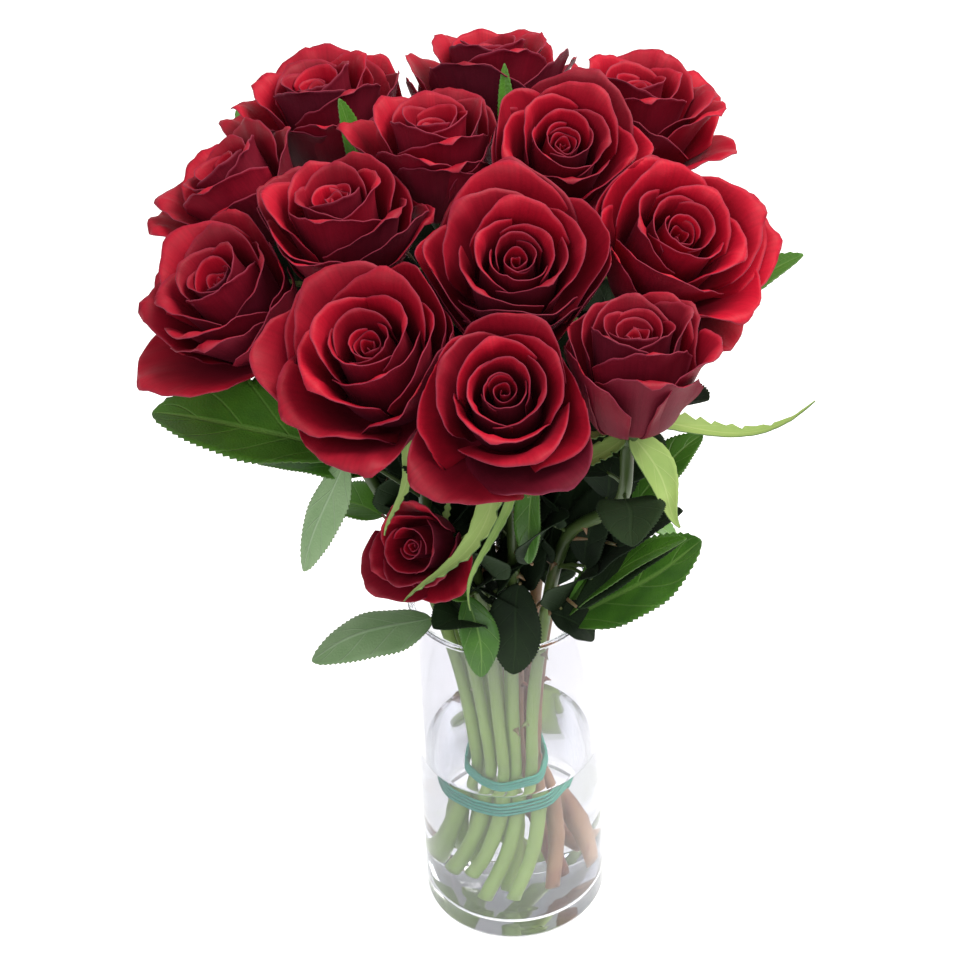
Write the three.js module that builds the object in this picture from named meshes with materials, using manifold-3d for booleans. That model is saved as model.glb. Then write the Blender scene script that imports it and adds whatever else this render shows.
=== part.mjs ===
// Fourteen red roses in a clear glass cylinder vase that is half full of water.
// Millimetres, +Z up. The origin is the centre of the vase's foot, and -Y is the front.
//
// Each rose is two solids: the red bloom, and the green growth that carries it, which is stem, hip,
// sepals and leaves in one piece. One green elastic band holds the stems together under the water.
// Above the vase they fan out into a dome of flowers.
import * as THREE from "three";
import { mergeVertices } from "three/addons/utils/BufferGeometryUtils.js";
import Module from "manifold-3d";

const wasm = await Module();
wasm.setup();

// ---------- Driving dimensions ----------

const GAP = 0.3; // between pieces that touch

const VASE = {
  radius: 50, wall: 3.8, height: 220, floor: 12, floorRound: 3, footRound: 5, lipRound: 1.4, sides: 32,
};
const WATER_LEVEL = 111;
const BAND = { height: 87, width: 13, thickness: 2.2, windings: 3, slack: 1.8, sides: 20 };

const STEM = { radius: 3.4, sides: 5, steps: 7, footHeight: 14.4, neck: 34, lowFlower: 380 };

// How far the fan of stems is open at each height: 1 is the full spread of the flowers.
// Below the band the bundle turns back on itself, as in a hand-tied bunch.
const FAN = [
  { height: 13, open: 0.27, turn: -48 },
  { height: 50, open: 0.205, turn: -20 },
  { height: BAND.height, open: 0.1667, turn: 0 },
  { height: 150, open: 0.205, turn: 0 },
  { height: 220, open: 0.325, turn: 0 },
  { height: 290, open: 0.52, turn: 0 },
];

const BLOOM = {
  height: 60, // from the hip to the top of the heart
  petal: 1.1, // thickness
  round: 0.2, // how far a petal's corners are cut back, as a share of its length
  point: 0.03, // how far its middle comes to a tip
  cup: 0.34, // where along its length a petal has turned from lying out to standing up
  lip: 0.7, // where it starts to roll outwards
  stagger: 1.8, // how far one whorl keeps behind the next, where flowers press on each other
  neighbourReach: 100, // how far off another flower still presses on it
  neighbourEase: 4.5, // how softly petals bend away from the next flower
  waver: 0.07, // how much the petals of a whorl differ
};

// The heart of a flower: its innermost petals, rolled round each other into one spiral wall.
const HEART = {
  turn: 410, root: 5, inner: 4.5, outer: 11.5, rise: 9, height: 57, dip: 3, across: 7, depth: 3,
};
// The petals round it. rise: height of their roots. flare, stand and lip: the lean away from the
// flower's axis at the root, in the cup and added at the tip, in degrees. widest: the half angle
// that a petal takes up at most. depth: how many whorls lie outside this one. rows: where a petal
// has an edge across it.
const INNER = {
  petals: 3, start: 70, rise: 5.6, root: 5.5, flare: 72, stand: 4, lip: 30, length: 60, half: 27,
  overlap: 1.2, widest: 57, depth: 2, across: 2, rows: [0, 0.36, 1],
};
const OUTER = {
  petals: 3, start: 10, rise: 3.2, root: 6, flare: 90, stand: 12, lip: 50, length: 67, half: 36,
  overlap: 1.4, widest: 57, depth: 1, across: 3, rows: [0, 0.38, 1],
};
// One loose petal outside them, which each rose places by its own list.
const GUARD = {
  rise: 0.9, root: 6, flare: 96, lip: 36, length: 65, half: 33,
  overlap: 0, widest: 50, depth: 0, across: 2, rows: [0, 0.4, 1],
};

// What all petals of a flower grow from, as a profile of [radius, height].
const CORE = { profile: [[0, 0], [8.2, 0], [8.8, 10], [0, 15]], sides: 5 };
// hang: the lean of a hanging sepal from the flower's axis, in degrees. sag: how far one that stands
// away dips, as a share of its length.
const SEPAL = { count: 5, length: 34, thickness: 1.0, hang: 118, sag: 0.1 };
const HIP = { radius: 6.2, neck: 4.2, height: 11 };
// along: rows of a leaf blade. tooth and fold: the depth of its teeth and how far its two halves
// rise from the rib, as shares of its half width. stalk: the stalk's radius.
const LEAF = { thickness: 0.9, along: 4, tooth: 0.07, fold: 0.22, stalk: 1.4 };

// ---------- The roses ----------

// heart: the top of the flower's heart. lean: its tilt from upright, towards the compass direction
// "towards", where 0 is +X and 90 is +Y. spin: its turn about its own axis. place: where its stem
// runs in the fan. foot: how far its cut end stands above the lowest. guards: the direction, where 0
// is the side that the flower leans to, and the stand of each loose outer petal, in degrees.
// sepals: the tips of those that stand away from the flower, with their half width.
// leaves: the height on the stem, the end of the stalk and the blades, each with its place on the
// stalk, its tip, half width and arch.
const ROSES = [
  {
    name: "rose_01", heart: [-82, 121, 474], lean: 16, towards: 135, size: 1.0, spin: 15,
    place: [-60, 90], foot: 0, guards: [[-75, 40], [30, 44], [110, 30]],
    sepals: [],
    leaves: [
      { at: 320, stalk: [-82, 112, 372], blades: [[1, [-125, 168, 420], 15, 8]] },
      { at: 260, stalk: [-40, 56, 268], blades: [[1, [-66, 98, 258], 15, 6]] },
    ],
  },
  {
    name: "rose_02", heart: [10, 138, 478], lean: 26, towards: 85, size: 0.98, spin: 50,
    place: [6, 108], foot: 6, guards: [[-80, 34], [20, 40], [110, 44]],
    sepals: [],
    leaves: [
      { at: 325, stalk: [8, 118, 356], blades: [[1, [22, 190, 368], 18, 9], [0.7, [-36, 164, 338], 14, 6]] },
    ],
  },
  {
    name: "rose_03", heart: [84, 104, 474], lean: 13, towards: 45, size: 1.0, spin: 0,
    place: [68, 86], foot: 0, guards: [[-85, 46], [0, 36], [110, 30]],
    sepals: [],
    leaves: [
      { at: 310, stalk: [66, 82, 345], blades: [[1, [122, 132, 362], 18, 9]] },
      { at: 258, stalk: [42, 52, 270], blades: [[1, [86, 74, 256], 15, 6]] },
    ],
  },
  {
    name: "rose_04", heart: [-133, 66, 462], lean: 34, towards: 165, size: 0.95, spin: 80,
    place: [-99, 46], foot: 3, guards: [[40, 56], [-60, 30]],
    sepals: [],
    leaves: [{ at: 312, stalk: [-84, 46, 345], blades: [[1, [-148, 84, 352], 17, 8]] }],
  },
  {
    name: "rose_05", heart: [-21, 52, 494], lean: 10, towards: 100, size: 0.95, spin: 30,
    place: [-22, 45], foot: 9, guards: [[0, 26], [180, 26]],
    sepals: [],
    leaves: [{ at: 375, stalk: [-43, 67, 424], blades: [[1, [-54, 82, 479], 5, 2]] }],
  },
  {
    name: "rose_06", heart: [44, 25, 494], lean: 26, towards: -70, size: 0.95, spin: 110,
    place: [34, 48], foot: 0, guards: [[10, 30], [-110, 28]],
    sepals: [],
    leaves: [
      { at: 375, stalk: [16, 77, 428], blades: [[1, [16, 98, 487], 5, 2]] },
      { at: 296, stalk: [32, 16, 320], blades: [[1, [60, -16, 356], 11, 5]] },
    ],
  },
  {
    name: "rose_07", heart: [-71, 2, 488], lean: 6, towards: 180, size: 1.0, spin: 200,
    place: [-62, -2], foot: 12, guards: [[60, 30], [170, 34], [-70, 28]],
    sepals: [],
    leaves: [],
  },
  {
    name: "rose_08", heart: [16, -62, 490], lean: 30, towards: -85, size: 1.05, spin: 65,
    place: [10, -24], foot: 0, guards: [[80, 36], [-85, 46], [180, 26]],
    sepals: [],
    leaves: [{ at: 296, stalk: [20, -20, 324], blades: [[1, [50, -30, 372], 13, 5]] }],
  },
  {
    name: "rose_09", heart: [99, -29, 476], lean: 30, towards: -50, size: 1.05, spin: 140,
    place: [84, -2], foot: 4, guards: [[65, 36], [-25, 48], [170, 24]],
    sepals: [],
    leaves: [
      { at: 322, stalk: [82, 4, 362], blades: [[1, [160, 24, 412], 15, 8]] },
      { at: 262, stalk: [58, 4, 268], blades: [[1, [96, 10, 236], 16, 6], [0.5, [68, 36, 298], 13, 5]] },
    ],
  },
  {
    name: "rose_10", heart: [-134, -20, 460], lean: 26, towards: -160, size: 1.0, spin: 122,
    place: [-108, -14], foot: 0, guards: [[20, 46], [-80, 40], [120, 30]],
    sepals: [[[-151, -27, 399], 3.5]],
    leaves: [{ at: 262, stalk: [-60, 4, 274], blades: [[1, [-98, 26, 262], 15, 6]] }],
  },
  {
    name: "rose_11", heart: [-59, -91, 470], lean: 26, towards: -115, size: 1.1, spin: 300,
    place: [-66, -72], foot: 8, guards: [[15, 38], [-80, 34], [110, 36]],
    sepals: [[[-50, -100, 350], 3]],
    leaves: [
      {
        at: 322, stalk: [-78, -57, 368],
        blades: [
          [1, [-168, -34, 380], 19, 6],
          [0.6, [-119, -30, 344], 13, 5],
          [0.9, [-103, -73, 312], 10, 3],
        ],
      },
      { at: 241, stalk: [-38, -38, 239], blades: [[1, [-98, -47, 235], 10, 4]] },
    ],
  },
  {
    name: "rose_12", heart: [5, -126, 462], lean: 35, towards: -92, size: 1.05, spin: 230,
    place: [14, -84], foot: 0, guards: [[-45, 46], [35, 54]],
    sepals: [[[-42, -132, 330], 5], [[-12, -128, 322], 3]],
    leaves: [
      { at: 345, stalk: [20, -68, 352], blades: [[1, [14, -72, 302], 9, 2]] },
      { at: 246, stalk: [10, -42, 262], blades: [[1, [4, -62, 217], 10, 3]] },
    ],
  },
  {
    name: "rose_13", heart: [69, -90, 468], lean: 6, towards: 40, size: 1.0, spin: 90,
    place: [66, -78], foot: 5, guards: [[-60, 22], [60, 26], [170, 26]],
    sepals: [[[89, -128, 372], 7], [[154, -74, 402], 7], [[30, -112, 390], 5]],
    leaves: [
      { at: 318, stalk: [70, -66, 332], blades: [[1, [104, -42, 354], 12, 5], [0.6, [70, -40, 300], 10, 3]] },
      { at: 244, stalk: [36, -50, 254], blades: [[1, [104, -31, 275], 21, 7], [0.7, [94, -58, 300], 13, 5]] },
    ],
  },
  {
    name: "rose_14", heart: [-46, -92, 335], lean: 55, towards: -120, size: 0.66, spin: 40,
    place: [-26, -100], foot: 16, guards: [[-35, 40], [60, 44]],
    sepals: [],
    leaves: [
      {
        at: 252, stalk: [-18, -55, 266],
        blades: [[1, [-58, -54, 279], 12, 5], [0.9, [-6, -72, 232], 11, 6]],
      },
    ],
  },
];

// ---------- Small helpers ----------

const radians = THREE.MathUtils.degToRad;
const evenly = (parts) => Array.from({ length: parts + 1 }, (_, i) => i / parts);
/** A repeatable draw from -1 to 1. */
const draw = (seed, index) => {
  const x = Math.sin(seed * 12.9898 + index * 78.233) * 43758.5453;
  return 2 * (x - Math.floor(x)) - 1;
};
const smooth = (x) => THREE.MathUtils.smoothstep(x, 0, 1);
const point = (values) => new THREE.Vector3(...values);

/** A closed geometry with shared vertices, as a manifold solid. */
function solid(geometry) {
  const bare = geometry.index ? geometry.toNonIndexed() : geometry.clone();
  bare.deleteAttribute("normal");
  bare.deleteAttribute("uv");
  const merged = mergeVertices(bare, 1e-4);
  return new wasm.Manifold(
    new wasm.Mesh({
      numProp: 3,
      vertProperties: merged.attributes.position.array,
      triVerts: new Uint32Array(merged.index.array),
    }),
  );
}

/** The same solid as a geometry again. */
function geometryOf(manifold) {
  const mesh = manifold.getMesh();
  const geometry = new THREE.BufferGeometry();
  geometry.setAttribute("position", new THREE.BufferAttribute(new Float32Array(mesh.vertProperties), 3));
  geometry.setIndex(new THREE.BufferAttribute(new Uint32Array(mesh.triVerts), 1));
  return geometry;
}

/** The largest body of a solid: sealed hollows and loose scraps are dropped. */
function largestBody(manifold) {
  const bodies = manifold.decompose();
  return bodies.reduce((largest, body) => (body.volume() > largest.volume() ? body : largest));
}

/** Joins closed geometries into one body. */
function fuse(geometries) {
  return largestBody(geometries.map(solid).reduce((whole, next) => whole.add(next)));
}

/** A thin closed blade round the middle surface(s, t), with s from -1 to 1 and t at each of rows. */
function blade(surface, across, rows, thickness) {
  const along = rows.length - 1;
  const middle = [];
  for (const t of rows)
    for (let i = 0; i <= across; i++) middle.push(surface((2 * i) / across - 1, t));
  const at = (i, j) =>
    middle[THREE.MathUtils.clamp(j, 0, along) * (across + 1) + THREE.MathUtils.clamp(i, 0, across)];
  const upper = [];
  const lower = [];
  for (let j = 0; j <= along; j++)
    for (let i = 0; i <= across; i++) {
      const acrossWay = at(i + 1, j).clone().sub(at(i - 1, j));
      const alongWay = at(i, j + 1).clone().sub(at(i, j - 1));
      const normal = acrossWay.cross(alongWay).normalize().multiplyScalar(thickness / 2);
      upper.push(at(i, j).clone().add(normal));
      lower.push(at(i, j).clone().sub(normal));
    }
  const faces = [];
  const count = upper.length;
  const id = (i, j) => j * (across + 1) + i;
  const quad = (a, b, c, d) => faces.push(a, b, c, a, c, d);
  for (let j = 0; j < along; j++)
    for (let i = 0; i < across; i++) {
      const [a, b, c, d] = [id(i, j), id(i + 1, j), id(i + 1, j + 1), id(i, j + 1)];
      quad(a, b, c, d);
      faces.push(count + a, count + c, count + b, count + a, count + d, count + c);
    }
  const rim = [];
  for (let i = 0; i < across; i++) rim.push([id(i, 0), id(i + 1, 0)]);
  for (let j = 0; j < along; j++) rim.push([id(across, j), id(across, j + 1)]);
  for (let i = across; i > 0; i--) rim.push([id(i, along), id(i - 1, along)]);
  for (let j = along; j > 0; j--) rim.push([id(0, j), id(0, j - 1)]);
  for (const [a, b] of rim) quad(a, count + a, count + b, b);
  const geometry = new THREE.BufferGeometry();
  geometry.setAttribute(
    "position",
    new THREE.Float32BufferAttribute([...upper, ...lower].flatMap((v) => v.toArray()), 3),
  );
  geometry.setIndex(faces);
  return geometry;
}

/** A closed body through rings of as many points each, from the lower end point to the upper one. */
function stacked(rings, [bottom, top]) {
  const count = rings[0].length;
  const last = 1 + (rings.length - 1) * count;
  const faces = [];
  for (let i = 0; i < count; i++) {
    const next = (i + 1) % count;
    faces.push(0, 1 + next, 1 + i, last + i, last + next, last + count);
    for (let low = 1; low < last; low += count) {
      const high = low + count;
      faces.push(low + i, low + next, high + next, low + i, high + next, high + i);
    }
  }
  const geometry = new THREE.BufferGeometry();
  geometry.setFromPoints([bottom, ...rings.flat(), top]);
  geometry.setIndex(faces);
  return geometry;
}

/** A solid rod of few sides along a curve. */
function rod(curve, radius, sides, steps) {
  const section = new THREE.Shape(
    Array.from({ length: sides }, (_, i) => {
      const angle = (2 * Math.PI * i) / sides;
      return new THREE.Vector2(radius * Math.cos(angle), radius * Math.sin(angle));
    }),
  );
  return new THREE.ExtrudeGeometry(section, { steps, extrudePath: curve, bevelEnabled: false });
}

/** A body of revolution about Z from a profile of [radius, height]. */
function turned(profile, sides) {
  const lathe = new THREE.LatheGeometry(
    profile.map(([radius, height]) => new THREE.Vector2(radius, height)),
    sides,
  );
  return lathe.rotateX(Math.PI / 2);
}

// ---------- Where each rose is ----------

/** Adds to a rose its axis, its frame and the place of its hip. */
function placed(rose) {
  const [lean, towards] = [radians(rose.lean), radians(rose.towards)];
  const axis = new THREE.Vector3(
    Math.sin(lean) * Math.cos(towards),
    Math.sin(lean) * Math.sin(towards),
    Math.cos(lean),
  );
  const side = new THREE.Vector3(-Math.sin(towards), Math.cos(towards), 0);
  const front = side.clone().cross(axis);
  const base = point(rose.heart).addScaledVector(axis, -BLOOM.height * rose.size);
  const frame = new THREE.Matrix4().makeBasis(front, side, axis).setPosition(base);
  const middle = base.clone().lerp(point(rose.heart), 0.6);
  return { ...rose, axis, frame, base, middle };
}

const roses = ROSES.map(placed);

/** The planes half-way to the flowers that stand close to this one. */
function fences(rose) {
  return roses
    .filter((other) => other !== rose && other.middle.distanceTo(rose.middle) < BLOOM.neighbourReach)
    .map((other) => {
      const normal = other.middle.clone().sub(rose.middle).normalize();
      const share = rose.size / (rose.size + other.size);
      return { normal, through: rose.middle.clone().lerp(other.middle, share) };
    });
}

/** Bends a point softly back behind each fence, so that no petal reaches the next flower. */
function keptBehind(fenceList, position, margin) {
  const ease = BLOOM.neighbourEase;
  for (const { normal, through } of fenceList) {
    const beyond = position.clone().sub(through).dot(normal) + margin;
    const kept = -ease * Math.log1p(Math.exp(-beyond / ease));
    position.addScaledVector(normal, kept - beyond);
  }
  return position;
}

// ---------- Bloom ----------

/** The lean of a petal away from the axis at this share of its length. */
function petalLean(petal, share) {
  const upright = smooth(share / BLOOM.cup);
  const rolled = Math.max(0, (share - BLOOM.lip) / (1 - BLOOM.lip));
  return radians(petal.flare * (1 - upright) + petal.stand * upright + petal.lip * rolled * rolled);
}

/** The distance from the axis and the height that a petal has reached at this share of its length. */
function petalWalk(petal, share) {
  const steps = 16;
  let radius = petal.root;
  let height = petal.rise;
  for (let i = 0; i < steps; i++) {
    const lean = petalLean(petal, ((i + 0.5) / steps) * share);
    radius += (Math.sin(lean) * petal.length * share) / steps;
    height += (Math.cos(lean) * petal.length * share) / steps;
  }
  return { radius, height };
}

/** A point on a petal in the flower's own frame. One side edge lies over the next petal. */
function petalPoint(petal, s, t) {
  const cutBack = 1 - BLOOM.round * Math.abs(s) ** 3 + BLOOM.point * (1 - Math.abs(s)) ** 2;
  const share = t * cutBack;
  const { radius, height } = petalWalk(petal, share);
  const half = petal.half * (0.14 + 0.86 * Math.sin((Math.min(1, t / 0.6) * Math.PI) / 2));
  const angle = radians(petal.direction) + s * Math.min(half / radius, radians(petal.widest));
  const lean = petalLean(petal, share);
  const out = radius + petal.overlap * s * Math.cos(lean);
  return new THREE.Vector3(
    out * Math.cos(angle),
    out * Math.sin(angle),
    height - petal.overlap * s * Math.sin(lean),
  );
}

/** Every petal of a rose: its whorls, then its guard petals. No two are quite alike. */
function petalsOf(rose) {
  const whorls = [INNER, OUTER].flatMap((whorl) =>
    Array.from({ length: whorl.petals }, (_, i) => ({
      ...whorl,
      direction: rose.spin + whorl.start + (360 * i) / whorl.petals,
    })),
  );
  const guards = rose.guards.map(([direction, stand]) => ({ ...GUARD, direction, stand }));
  return [...whorls, ...guards].map((petal, i) => ({
    ...petal,
    length: petal.length * (1 + BLOOM.waver * draw(rose.spin, i)),
  }));
}

/** A point on the rolled heart in the flower's own frame, from its inner edge to its outer one. */
function heartPoint(spin, s, t) {
  const wound = (s + 1) / 2;
  const angle = radians(spin + HEART.turn * wound);
  const top = HEART.inner + (HEART.outer - HEART.inner) * wound;
  const radius = HEART.root * (1 - t) + top * t;
  const height = HEART.rise + (HEART.height - HEART.rise - HEART.dip * (1 - wound)) * t;
  return new THREE.Vector3(radius * Math.cos(angle), radius * Math.sin(angle), height);
}

/** The red flower: its core, the rolled heart and the petals. */
function bloom(rose) {
  const core = turned(CORE.profile, CORE.sides);
  const scale = new THREE.Matrix4().makeScale(rose.size, rose.size, rose.size);
  const toPlace = rose.frame.clone().multiply(scale);
  const fenceList = fences(rose);
  const inPlace = (position, depth, overlapRoom) => {
    const margin = BLOOM.petal / 2 + GAP + depth * BLOOM.stagger + overlapRoom;
    return keptBehind(fenceList, position.applyMatrix4(toPlace), margin);
  };
  const heart = blade(
    (s, t) => inPlace(heartPoint(rose.spin, s, t), HEART.depth, 0),
    HEART.across,
    [0, 1],
    BLOOM.petal,
  );
  const petals = petalsOf(rose).map((petal) =>
    blade(
      (s, t) => inPlace(petalPoint(petal, s, t), petal.depth, (petal.overlap * (1 - s)) / 2),
      petal.across,
      petal.rows,
      BLOOM.petal,
    ),
  );
  return fuse([core.applyMatrix4(toPlace), heart, ...petals]);
}

// ---------- Stem, hip, sepals and leaves ----------

/** Where a stem is at a height of the fan. */
function inFan(rose, { height, open, turn }) {
  const [x, y] = rose.place;
  return new THREE.Vector3(x * open, y * open, height).applyAxisAngle(
    new THREE.Vector3(0, 0, 1),
    radians(turn),
  );
}

/** The line of a stem, from its cut end in the vase to its hip. */
function stemCurve(rose) {
  const points = FAN.map((level) => inFan(rose, level));
  const top = rose.base.clone().addScaledVector(rose.axis, -HIP.height * rose.size + 1);
  const isLow = rose.base.z < STEM.lowFlower;
  if (isLow) points.pop(); // its flower is level with the top of the fan
  const neck = top.clone().addScaledVector(rose.axis, -STEM.neck * rose.size);
  const curve = new THREE.CatmullRomCurve3([...points, neck, top], false, "centripetal");
  const foot = STEM.footHeight + rose.foot;
  const start = points[0];
  const next = points[1];
  start.lerp(next, (foot - start.z) / (next.z - start.z));
  return curve;
}

/** The point of a curve that is at a height. */
function atHeight(curve, height) {
  let [low, high] = [0, 1];
  for (let i = 0; i < 30; i++) {
    const middle = (low + high) / 2;
    if (curve.getPoint(middle).z < height) low = middle;
    else high = middle;
  }
  return curve.getPoint(low);
}

/** The hip with the sepals that hang from it, in the flower's own frame: a star over a small urn. */
function calyx(rose) {
  const { radius, neck, height } = HIP;
  const hanging = SEPAL.count - rose.sepals.length;
  const lean = radians(SEPAL.hang);
  const reach = radius + Math.sin(lean) * SEPAL.length;
  const drop = -3 + Math.cos(lean) * SEPAL.length;
  const corners = SEPAL.count * 2;
  const ring = (notch, tip = notch) =>
    Array.from({ length: corners }, (_, i) => {
      const isTip = i % 2 === 0 && i < 2 * hanging;
      const [out, up] = isTip ? tip : notch;
      const angle = radians(rose.spin) + (2 * Math.PI * i) / corners;
      return new THREE.Vector3(out * Math.cos(angle), out * Math.sin(angle), up);
    });
  const rings = [
    ring([neck, -height]),
    ring([radius, -5.5]),
    ring([radius, -3], [reach - 0.3, drop - SEPAL.thickness]),
    ring([radius * 0.9, -0.9], [reach, drop]),
  ];
  const ends = [new THREE.Vector3(0, 0, -height), new THREE.Vector3(0, 0, -GAP * 1.4)];
  const scale = new THREE.Matrix4().makeScale(rose.size, rose.size, rose.size);
  return stacked(rings, ends).applyMatrix4(rose.frame.clone().multiply(scale));
}

/** A long sepal from the hip's flank to its tip, sagging a little. */
function tapered(rose, tip, half) {
  const centre = rose.base.clone().addScaledVector(rose.axis, -5 * rose.size);
  const away = tip.clone().sub(centre).normalize();
  const root = centre.addScaledVector(away, (HIP.radius - 2) * rose.size);
  const along = tip.clone().sub(root);
  const side = new THREE.Vector3(0, 0, 1).cross(along).normalize();
  const sag = SEPAL.sag * along.length();
  const surface = (s, t) =>
    root
      .clone()
      .addScaledVector(along, t)
      .addScaledVector(side, s * (half * Math.sin(Math.PI * (0.2 + 0.8 * t)) + 0.4))
      .add(new THREE.Vector3(0, 0, -sag * Math.sin(Math.PI * t)));
  return blade(surface, 1, evenly(3), SEPAL.thickness);
}

/** A leaflet from its stalk's end to its tip, folded along its rib, with a toothed edge. */
function leaflet(from, tip, half, arch) {
  const along = tip.clone().sub(from);
  const side = new THREE.Vector3(0, 0, 1).cross(along).normalize();
  const up = along.clone().cross(side).normalize();
  const surface = (s, t) => {
    const row = Math.round(t * LEAF.along);
    const tooth = 1 + LEAF.tooth * (row % 2 ? 1 : -1);
    const width = half * (0.06 + 0.94 * Math.sin(Math.PI * t ** 0.85) ** 0.8) * tooth;
    return from
      .clone()
      .addScaledVector(along, t)
      .addScaledVector(side, s * width)
      .addScaledVector(up, arch * Math.sin(Math.PI * t) + LEAF.fold * width * Math.abs(s));
  };
  return blade(surface, 2, evenly(LEAF.along), LEAF.thickness);
}

/** A leaf: a thin stalk that leaves the stem, and the blades that it carries. */
function leaf(curve, { at, stalk, blades }) {
  const line = new THREE.LineCurve3(atHeight(curve, at), point(stalk));
  const sunk = LEAF.stalk;
  return [
    rod(line, LEAF.stalk, 4, 1),
    ...blades.map(([share, tip, half, arch]) => {
      const from = line.getPoint(share - sunk / line.getLength());
      return leaflet(from, point(tip), half, arch);
    }),
  ];
}

/** The green growth of one rose as one body. */
function growth(rose, curve) {
  return fuse([
    rod(curve, STEM.radius, STEM.sides, STEM.steps),
    calyx(rose),
    ...rose.sepals.map(([tip, half]) => tapered(rose, point(tip), half)),
    ...rose.leaves.flatMap((one) => leaf(curve, one)),
  ]);
}

// ---------- Vase, water and band ----------

function vase() {
  const { radius, wall, height, floor, floorRound, footRound, lipRound, sides } = VASE;
  const inner = radius - wall;
  return turned(
    [
      [0, 0],
      [radius - footRound, 0],
      [radius, footRound],
      [radius, height - lipRound],
      [radius - lipRound, height],
      [inner, height],
      [inner, floor + floorRound],
      [inner - floorRound, floor],
      [0, floor],
    ],
    sides,
  );
}

/** The inner radius of the elastic band: it lies close round the stems at every height it covers. */
function bandRadius(curves) {
  const heights = [-1, 0, 1].map((end) => BAND.height + (end * BAND.width) / 2);
  const reach = curves.flatMap((curve) =>
    heights.map((height) => {
      const { x, y } = atHeight(curve, height);
      return Math.hypot(x, y);
    }),
  );
  return Math.max(...reach) + STEM.radius + BAND.slack;
}

/** A ring of elastic, wound several times round the stems. */
function band(bandInner) {
  const bandOuter = bandInner + BAND.thickness;
  const bottom = BAND.height - BAND.width / 2;
  const strand = BAND.width / BAND.windings;
  const groove = 0.6;
  const profile = [[bandInner, bottom]];
  for (let i = 0; i < BAND.windings; i++) {
    profile.push([bandOuter - groove, bottom + i * strand]);
    profile.push([bandOuter, bottom + (i + 0.5) * strand]);
  }
  const top = bottom + BAND.width;
  profile.push([bandOuter - groove, top], [bandInner, top], [bandInner, bottom]);
  return turned(profile, BAND.sides);
}

/** The space that the band takes up in the water. */
function bandRoom(bandInner) {
  const [inner, outer] = [bandInner - GAP, bandInner + BAND.thickness + GAP];
  const [bottom, top] = [-1, 1].map((end) => BAND.height + end * (BAND.width / 2 + GAP));
  return turned([[inner, bottom], [outer, bottom], [outer, top], [inner, top], [inner, bottom]], BAND.sides);
}

/** The water fills the vase to its level, with a plain hole for each stem and for the band. */
function water(curves, bandInner) {
  const radius = VASE.radius - VASE.wall - GAP;
  const floor = VASE.floor + GAP;
  const edge = VASE.floorRound;
  const body = solid(
    turned(
      [[0, floor], [radius - edge, floor], [radius, floor + edge], [radius, WATER_LEVEL], [0, WATER_LEVEL]],
      VASE.sides,
    ),
  );
  const holes = curves.flatMap((curve) => {
    const foot = curve.getPoint(0);
    const below = foot.clone().addScaledVector(curve.getTangent(0), -GAP);
    return [
      solid(rod(curve, STEM.radius + GAP * 1.3, STEM.sides, STEM.steps)),
      solid(rod(new THREE.LineCurve3(below, foot), STEM.radius + GAP * 1.3, 2 * STEM.sides, 1)),
    ];
  });
  const cut = [...holes, solid(bandRoom(bandInner))].reduce((whole, hole) => whole.subtract(hole), body);
  return largestBody(cut);
}

// ---------- Assembly ----------

const finish = {
  glass: new THREE.MeshStandardMaterial({
    color: 0xf2f6f6, roughness: 0.03, transparent: true, opacity: 0.35,
  }),
  water: new THREE.MeshStandardMaterial({
    color: 0xeaf4f2, roughness: 0.02, transparent: true, opacity: 0.3,
  }),
  elastic: new THREE.MeshStandardMaterial({ color: 0x3c9f86, roughness: 0.6 }),
  petal: new THREE.MeshStandardMaterial({ color: 0x9c0a1c, roughness: 0.65 }),
  green: new THREE.MeshStandardMaterial({ color: 0x3f6b2a, roughness: 0.5 }),
};

function named(name, geometry, material) {
  const mesh = new THREE.Mesh(geometry, material);
  mesh.name = name;
  return mesh;
}

const bouquet = new THREE.Group();
const curves = roses.map(stemCurve);
const bandInner = bandRadius(curves);
bouquet.add(named("vase", vase(), finish.glass));
bouquet.add(named("water", geometryOf(water(curves, bandInner)), finish.water));
bouquet.add(named("stem_band", band(bandInner), finish.elastic));
roses.forEach((rose, i) => {
  bouquet.add(named(`${rose.name}_bloom`, geometryOf(bloom(rose)), finish.petal));
  bouquet.add(named(`${rose.name}_stem`, geometryOf(growth(rose, curves[i])), finish.green));
});

export default bouquet;
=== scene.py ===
"""Fourteen red roses in a clear glass cylinder vase that is half full of water.

Sizes are millimetres until a piece is made, and metres after that. -Y is the front. Each rose gets
a bloom of velvety petals, a stem, a hip with sepals, and leaves. One elastic band is wound round
the stems under the water.
"""

import logging
import math
from collections.abc import Callable, Sequence
from dataclasses import astuple, dataclass, field, replace
from enum import Enum, IntEnum
from functools import partial

import bmesh
import bpy
import numpy as np
from mathutils import Matrix, Vector


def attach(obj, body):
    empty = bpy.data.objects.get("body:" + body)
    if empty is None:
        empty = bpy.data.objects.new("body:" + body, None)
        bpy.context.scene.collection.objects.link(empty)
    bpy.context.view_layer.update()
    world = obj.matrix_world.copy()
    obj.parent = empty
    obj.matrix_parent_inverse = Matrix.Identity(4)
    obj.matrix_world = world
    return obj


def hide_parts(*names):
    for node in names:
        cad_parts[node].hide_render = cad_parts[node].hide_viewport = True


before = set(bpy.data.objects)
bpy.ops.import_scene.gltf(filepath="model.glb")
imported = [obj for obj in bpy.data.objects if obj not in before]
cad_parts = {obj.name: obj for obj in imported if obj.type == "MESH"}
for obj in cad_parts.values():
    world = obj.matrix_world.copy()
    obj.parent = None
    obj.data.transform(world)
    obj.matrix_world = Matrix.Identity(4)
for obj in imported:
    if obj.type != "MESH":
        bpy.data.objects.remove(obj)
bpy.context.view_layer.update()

log = logging.getLogger("roses")

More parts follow.
